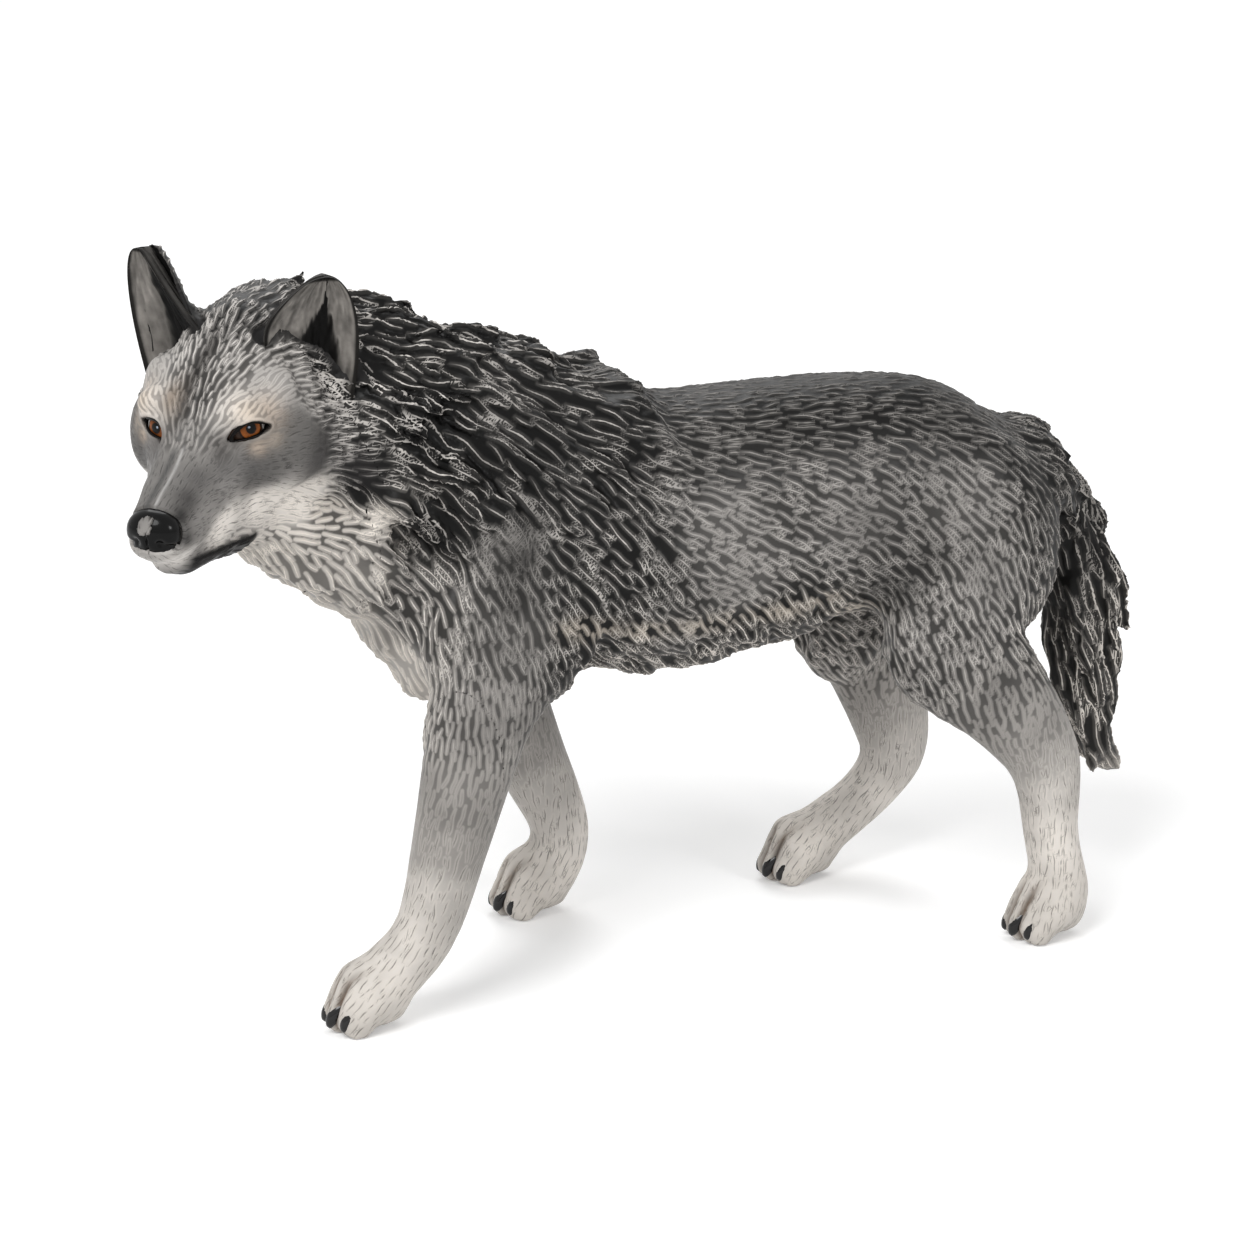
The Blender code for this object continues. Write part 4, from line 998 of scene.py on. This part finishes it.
def cut_pieces(skin, layers, material):
    """Cuts the coat into pieces along the body, the face apart."""
    quads = skin.quads[skin.owned]
    centre = skin.points[quads].mean(axis=1)
    face = on_face(centre) >= 0
    number = 1
    for group in (face, ~face):
        members = quads[group]
        key = centre[group] @ CUT_WAY
        count = math.ceil(len(members) / PIECE_QUADS)
        edges = np.quantile(key, np.linspace(0, 1, count + 1))
        edges[-1] += 1
        for low, high in zip(edges, edges[1:]):
            chosen = members[(key >= low) & (key < high)]
            used, inverse = np.unique(chosen, return_inverse=True)
            new_piece(f"coat_{number}", skin.points[used], inverse.reshape(-1, 4), material,
                      {name: layer[used] for name, layer in layers.items()}, skin.normals[used])
            number += 1


def build_coat(node):
    """Sculpts, combs and paints the coat, and cuts it into pieces."""
    rng = np.random.default_rng(SEED)
    skin, cleft, lid_gap, ear = shaped_skin(node)
    flow, look = spread_coat(skin)
    quiet = (1 - ear) * smoothstep(0.0, 0.9, lid_gap)
    coarse, calm = coarseness(look)
    length, height = look[:, 0], look[:, 2] * quiet
    spacing = look[:, 1] * between(STRAND_SPACE, coarse)
    shaggy = smoothstep(0.26, 0.44, height)
    skin.points = skin.relax(skin.points, RELAX_STEPS, shaggy)
    for x, y, z, reach, depth in HOLLOWS:
        skin.points[:, 2] -= depth * bell(skin.points, (x, y, z), reach)
    skin.renew_normals()
    flow, mound = raise_locks(skin, flow, shaggy, rng)

    tree = tree_of(skin.points)
    seeds = scatter(skin.points, np.sqrt(length * spacing * STRAND_CROWD), rng)
    strands = comb(skin, flow, tree, seeds, length, 0.16 + 0.22 * shaggy, rng)
    strands = space_out(strands, spacing[seeds], rng)
    owner, share, across, gap = nearest_strand(skin.points, skin.normals, strands)
    tall = rng.uniform(0.65, 1.1, len(strands))[owner]
    rise = smoothstep(-0.05, 0.4, share) * (1 - 0.6 * smoothstep(0.8, 1.0, share))
    half = spacing * 0.62
    crest = np.exp(-((gap / (CREST_WIDTH * 1.5)) ** 2))
    slope = 1 - smoothstep(0.0, 1.0, gap / half)
    relief = height * tall * rise * (0.55 * crest + 0.45 * slope) - 0.55 * height
    skin.push(relief + calm * (0.3 * height - relief - 1.1 * height * tall * rise * crest))
    tuck_under_nose(skin)
    skin.points[:, 2] = np.maximum(skin.points[:, 2], 0.0)
    skin.renew_normals()

    top = np.clip(tall * rise * (0.75 + 0.25 * mound * shaggy), 0, 1) * quiet
    top = top * between(CREST_SHARE, coarse)
    # Painted shade: the valley share grows across the gap between strands, towards their ends and, on the
    # mane and tail, between the locks; the coat darkens by it.
    valley = np.clip(gap / half, 0, 1.4) + 0.15 * (1 - rise) + 0.25 * shaggy * (1 - mound)
    layers = dict(zip(("groove", "coat", "crest"), coat_layers(skin, look, cleft, lid_gap, ear)))
    layers["strand"] = np.stack([(np.clip(across, -0.5, 0.5) + 1.0) / 2, np.clip(gap, 0, 1), top], axis=1)
    layers["valley"] = np.repeat(np.clip(valley * quiet, 0, 1.2)[:, None], 3, axis=1)
    cut_pieces(skin, layers, coat_material())


def rough(u, v, across, along, rng):
    """Smooth random values from -1 to 1 over the given number of cells."""
    table = rng.uniform(-1, 1, (along + 2, across + 2))
    x, y = (u + 1) / 2 * across, v * along
    i, j = x.astype(int), y.astype(int)
    x, y = x - i, y - j
    x, y = x * x * (3 - 2 * x), y * y * (3 - 2 * y)
    lower = table[j, i] * (1 - x) + table[j, i + 1] * x
    upper = table[j + 1, i] * (1 - x) + table[j + 1, i + 1] * x
    return lower * (1 - y) + upper * y


def ear_tones(shape, u, v, hair):
    """Grey tones of the inside of an ear: scratchy fur, a deep shadow and a dark rim."""
    reach = 0.56 * np.clip(1.08 - v / shape.hollow_top, 0.01, 1) ** 0.6
    hollow = smoothstep(1.2, 0.7, np.abs(u - shape.hollow - 0.1 * hair) / reach)
    tone = 114 + 34 * hair - 50 * smoothstep(0.45, 0.1, v) * smoothstep(-0.9, 0.0, u * shape.side)
    shaggy = smoothstep(-0.2, -0.4, u) * (shape.side < 0)
    tone = tone + shaggy * (34 + 110 * np.maximum(hair, 0) - tone)
    tone = tone + (8 - tone) * hollow
    rim = smoothstep(0.9, 0.95, np.abs(u)) + smoothstep(0.94, 0.97, v)
    return tone + (30 - tone) * np.clip(rim, 0, 1)


def shell_faces(rows, columns):
    """Faces of a front grid, a back grid and the rim between them."""
    size = rows * columns
    edge = np.concatenate([np.arange(rows) * columns, (rows - 1) * columns + np.arange(1, columns),
                           (np.arange(rows) * columns + columns - 1)[::-1][1:],
                           np.arange(columns)[::-1][1:-1]])
    after = np.roll(edge, -1)
    rim = np.stack([edge, edge + size, after + size, after], axis=1)
    return np.vstack([grid_faces(rows, columns), grid_faces(rows, columns, size)[:, ::-1], rim])


def build_ears():
    """Thin cupped ears."""
    material = painted_material("ear_paint", 0.5, 0.12)
    rng = np.random.default_rng(SEED + 1)
    for name, shape in EARS.items():
        front, open_way, u, v = ear_grid(shape, EAR_COLUMNS, EAR_ROWS)
        hair = 0.6 * rough(u, v, 24, 7, rng) + 0.4 * rough(u, v, 44, 16, rng)
        inside = 1 - np.abs(u) ** 8
        front = front + open_way * (0.16 * hair * inside)[..., None]
        thickness = EAR_THICKNESS * (1 - 0.45 * np.abs(u) ** 3)
        back = front - open_way * thickness[..., None]
        tone = ear_tones(shape, u, v, hair)
        front_colour = tinted(np.clip(tone, 8, 220).ravel(), np.full(tone.size, 0.55))
        tone = 58 + 34 * rough(u, v, 40, 6, rng)
        back_colour = tinted(tone.ravel(), np.full(tone.size, 0.2))
        points = from_head(np.vstack([front.reshape(-1, 3), back.reshape(-1, 3)]))
        faces = shell_faces(EAR_ROWS, EAR_COLUMNS)
        if shape.side > 0:
            faces = faces[:, ::-1]
        new_piece(f"ear_{name}", points, faces, material, {"paint": np.vstack([front_colour, back_colour])})


def build_eyeball(name, eye, material):
    """A glossy eyeball with an amber iris, a painted shadow under the upper lid and a small painted glint.
    """
    centre, along, up, facing = eye_axes(eye)
    radius, angle = ball_grid(np.linspace(0, 1, EYE_RINGS), EYE_SPOKES)
    reach = 2.05 * radius
    x, y = reach * np.cos(angle), reach * np.sin(angle)
    z = np.sqrt(np.maximum(EYE_RADIUS**2 - reach**2, 0)) - EYE_RADIUS - 0.05
    points = centre + x[..., None] * along + y[..., None] * up + z[..., None] * facing
    distance = np.hypot(x - eye.gaze[0], y - eye.gaze[1])
    # Painted shadow: the top of the eyeball darkens under the upper lid.
    shade = (1 - 0.75 * smoothstep(0.0, 0.6, y))[..., None]
    white = smoothstep(eye.white, eye.white + 0.1, x)[..., None]
    colour = linear((50, 36, 28)) + white * (linear((170, 166, 162)) - linear((50, 36, 28)))
    amber = linear((128, 70, 26)) * (0.7 + 0.4 * np.sin(angle * 17)[..., None] ** 2)
    amber = amber * (0.55 + 0.6 * smoothstep(0.4, 0.8, distance)[..., None])
    colour = np.where((distance < IRIS_RIM_RADIUS)[..., None], linear((26, 15, 9)), colour)
    colour = np.where((distance < IRIS_RADIUS)[..., None], amber, colour)
    colour = np.where((distance < PUPIL_RADIUS)[..., None], linear((5, 5, 6)), colour)
    # Painted highlight: a small pale glint stands for a reflection.
    glint = np.hypot(x - eye.gaze[0] + 0.16, y - eye.gaze[1] - 0.2) < 0.11
    colour = np.where(glint[..., None], linear((150, 158, 172)), colour * shade)
    faces = grid_faces(EYE_RINGS, EYE_SPOKES, wrap=True)
    new_piece(f"eyeball_{name}", points.reshape(-1, 3), faces, material, {"paint": colour.reshape(-1, 3)})


def build_lids(name, eye, material):
    """A dark rounded rim around an eye."""
    centre, along, up, facing = eye_axes(eye)
    curve = closed_curve(LID, 8)
    steps = len(curve)
    outward = unit(curve - curve.mean(axis=0))
    upper = smoothstep(-0.5, 0.3, outward[:, 1])
    thick = 0.16 + 0.09 * upper
    turn = np.arange(LID_SPOKES) * 2 * math.pi / LID_SPOKES
    flat = curve[:, None, :] + outward[:, None, :] * (thick[:, None] * np.cos(turn) + 0.04)[..., None]
    level = np.sqrt(np.maximum(EYE_RADIUS**2 - dot(curve, curve), 0)) - EYE_RADIUS
    level = np.maximum(level, -0.75)[:, None] + 0.05 + thick[:, None] * np.sin(turn)
    points = centre + flat[..., :1] * along + flat[..., 1:] * up + level[..., None] * facing
    first = np.arange(LID_SPOKES)
    following = (first + 1) % LID_SPOKES
    last = (steps - 1) * LID_SPOKES
    closing = np.stack([last + first, last + following, following, first], 1)
    faces = np.vstack([grid_faces(steps, LID_SPOKES, wrap=True), closing])
    colour = linear((12, 10, 9)) + np.zeros((steps * LID_SPOKES, 3))
    new_piece(f"lids_{name}", points.reshape(-1, 3), faces, material, {"paint": colour})


def build_eyes():
    """Both eyeballs and the lids around them."""
    gloss = painted_material("eye_gloss", 0.35, coat=0.08)
    lid_paint = painted_material("lid_paint", 0.3)
    for name, eye in EYES.items():
        build_eyeball(name, eye, gloss)
        build_lids(name, eye, lid_paint)


def tuck_under_nose(skin):
    """Draws the skin in under the nose pad."""
    offset = (to_head(skin.points) - NOSE_CENTRE) / NOSE_RADII
    inside = np.flatnonzero(np.linalg.norm(offset, axis=1) < 1.12)
    share = 0.3 * smoothstep(-0.7, -0.3, offset[inside, 0])[:, None]
    skin.points[inside] = from_head(NOSE_CENTRE + offset[inside] * NOSE_RADII * (1 - share))


def build_nose():
    """The glossy black nose pad, with nostrils and a groove down the middle."""
    rings, spokes = 90, 120
    polar, turn = ball_grid(np.linspace(0, math.pi, rings), spokes)
    way = np.stack([np.cos(polar), np.sin(polar) * np.cos(turn), np.sin(polar) * np.sin(turn)], axis=2)
    squared = np.sign(way) * np.abs(way) ** np.array((0.95, 0.9, 0.92))
    points = NOSE_CENTRE + squared * NOSE_RADII
    flat = points.reshape(-1, 3)
    ahead = flat[:, 0] > NOSE_CENTRE[0]
    up = flat[:, 2] - NOSE_CENTRE[2]
    dent = 0.22 * np.exp(-(flat[:, 1] / 0.13) ** 2) * ahead * smoothstep(0.6, -0.2, up)
    for side in (1, -1):
        out = side * flat[:, 1]
        dent += 0.45 * np.exp(-((out - 1.3) / 0.5) ** 2 - ((up + 0.5) / 0.5) ** 2) * ahead
        dent += 0.3 * np.exp(-((out - 2.1) / 0.5) ** 2 - ((up + 0.9) / 0.35) ** 2) * ahead
    flat = flat - unit(flat - NOSE_CENTRE) * dent[:, None]
    colour = linear((9, 9, 9)) + np.zeros((len(flat), 3))
    faces = grid_faces(rings, spokes, wrap=True)
    material = painted_material("nose_gloss", 0.22, 0.02, 0.12)
    new_piece("nose", from_head(flat), faces, material, {"paint": colour})


def build_claws():
    """Curved black claws, four to a paw."""
    rings, spokes = 14, 16
    points, faces = [], []
    for paw_x, side in PAWS:
        for place in TOE_PLACES:
            front = paw_x - PAW_HALF_LENGTH + (1.9 if abs(place) > 0.5 else 0.9)
            y = side * TRACK_HALF_WIDTH + place * TOE_SPREAD
            share = np.linspace(0, 1, rings)
            x = front - 0.15 - 1.45 * np.sin(share * 1.4)
            z = 2.5 - 1.9 * share**1.5
            thick = 0.68 * np.sqrt(np.maximum(1 - share**2.6, 0)) + 0.02
            turn = np.arange(spokes) * 2 * math.pi / spokes
            tangent = unit(np.stack([np.gradient(x), np.gradient(z)], axis=1))
            ring_y = y + thick[:, None] * np.cos(turn)
            ring_x = x[:, None] + thick[:, None] * 1.15 * np.sin(turn) * -tangent[:, 1:]
            ring_z = z[:, None] + thick[:, None] * 1.15 * np.sin(turn) * tangent[:, :1]
            faces.append(grid_faces(rings, spokes, len(points) * rings * spokes, wrap=True))
            points.append(np.stack([ring_x, ring_y, np.maximum(ring_z, 0.05)], axis=2).reshape(-1, 3))
    points = np.vstack(points)
    colour = linear((16, 15, 15)) + np.zeros((len(points), 3))
    material = painted_material("claw_gloss", 0.25, coat=0.6)
    new_piece("claws", points, np.vstack(faces), material, {"paint": colour})


def seen_rays(tree):
    """One for rays that show a surface to the camera, straight or by a reflection, and zero for the rest."""
    ray = tree.nodes.new("ShaderNodeLightPath")
    seen = ray.outputs["Is Camera Ray"]
    for name in ("Is Glossy Ray", "Is Transmission Ray"):
        either = tree.nodes.new("ShaderNodeMath")
        either.operation = "MAXIMUM"
        tree.links.new(seen, either.inputs[0])
        tree.links.new(ray.outputs[name], either.inputs[1])
        seen = either.outputs[0]
    return seen


def build_floor():
    """Pale floor that keeps the shadow."""
    mesh = bpy.data.meshes.new("floor")
    low, high = -FLOOR_REACH, FLOOR_REACH
    mesh.from_pydata([(low, low, 0), (high, low, 0), (high, high, 0), (low, high, 0)], [], [(0, 1, 2, 3)])
    floor = bpy.data.objects.new("floor", mesh)
    bpy.context.scene.collection.objects.link(floor)
    n = Nodes("pale_floor")
    n.shader.inputs["Base Color"].default_value = (FLOOR_TONE, FLOOR_TONE, FLOOR_TONE, 1)
    n.shader.inputs["Roughness"].default_value = 0.7
    n.shader.inputs["Emission Color"].default_value = (1, 1, 1, 1)
    n.feed(n.shader.inputs["Emission Strength"], n.math("MULTIPLY", seen_rays(n.tree), FLOOR_GLOW))
    mesh.materials.append(n.material)


def light_world():
    """White surroundings to look at, which light the wolf more softly."""
    world = bpy.data.worlds.new("studio")
    bpy.context.scene.world = world
    world.use_nodes = True
    tree = world.node_tree
    background = tree.nodes["Background"]
    background.inputs["Color"].default_value = (1, 1, 1, 1)
    strength = tree.nodes.new("ShaderNodeMapRange")
    strength.inputs["To Min"].default_value = WORLD_LIGHT
    strength.inputs["To Max"].default_value = 1.0
    tree.links.new(seen_rays(tree), strength.inputs["Value"])
    tree.links.new(strength.outputs[0], background.inputs["Strength"])


def place_lamps():
    """Soft round lamps that face the wolf."""
    for name, place, size, power in LAMPS:
        lamp = bpy.data.lights.new(name, "AREA")
        lamp.energy = power
        lamp.shape = "DISK"
        lamp.size = size
        obj = bpy.data.objects.new(name, lamp)
        obj.location = place
        way = Vector((-place[0], -place[1], LAMP_AIM_HEIGHT - place[2]))
        obj.rotation_euler = way.to_track_quat("-Z", "Y").to_euler()
        bpy.context.scene.collection.objects.link(obj)


def place_camera():
    """The viewpoint of the photograph."""
    lens = bpy.data.cameras.new("camera")
    lens.sensor_width = SENSOR_WIDTH
    lens.lens = SENSOR_WIDTH * FOCAL_PIXELS / FRAME_PIXELS
    lens.clip_start = 0.01
    camera = bpy.data.objects.new("camera", lens)
    back = camera_back()
    camera.location = Vector((CAMERA_TARGET + PAW_MIDDLE + back * CAMERA_DISTANCE) * MM)
    camera.rotation_euler = Vector(-back).to_track_quat("-Z", "Y").to_euler()
    bpy.context.scene.collection.objects.link(camera)
    bpy.context.scene.camera = camera
    bpy.context.scene.view_settings.view_transform = "Standard"


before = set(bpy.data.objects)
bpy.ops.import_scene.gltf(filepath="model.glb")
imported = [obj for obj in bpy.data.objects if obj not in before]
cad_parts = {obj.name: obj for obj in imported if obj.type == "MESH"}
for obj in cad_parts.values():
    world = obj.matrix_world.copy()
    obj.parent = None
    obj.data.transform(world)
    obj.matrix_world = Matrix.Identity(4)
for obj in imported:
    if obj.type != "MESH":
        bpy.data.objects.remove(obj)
CAD_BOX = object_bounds()
build_coat(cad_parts["wolf"])
build_ears()
build_eyes()
build_nose()
build_claws()
build_floor()
light_world()
place_lamps()
place_camera()
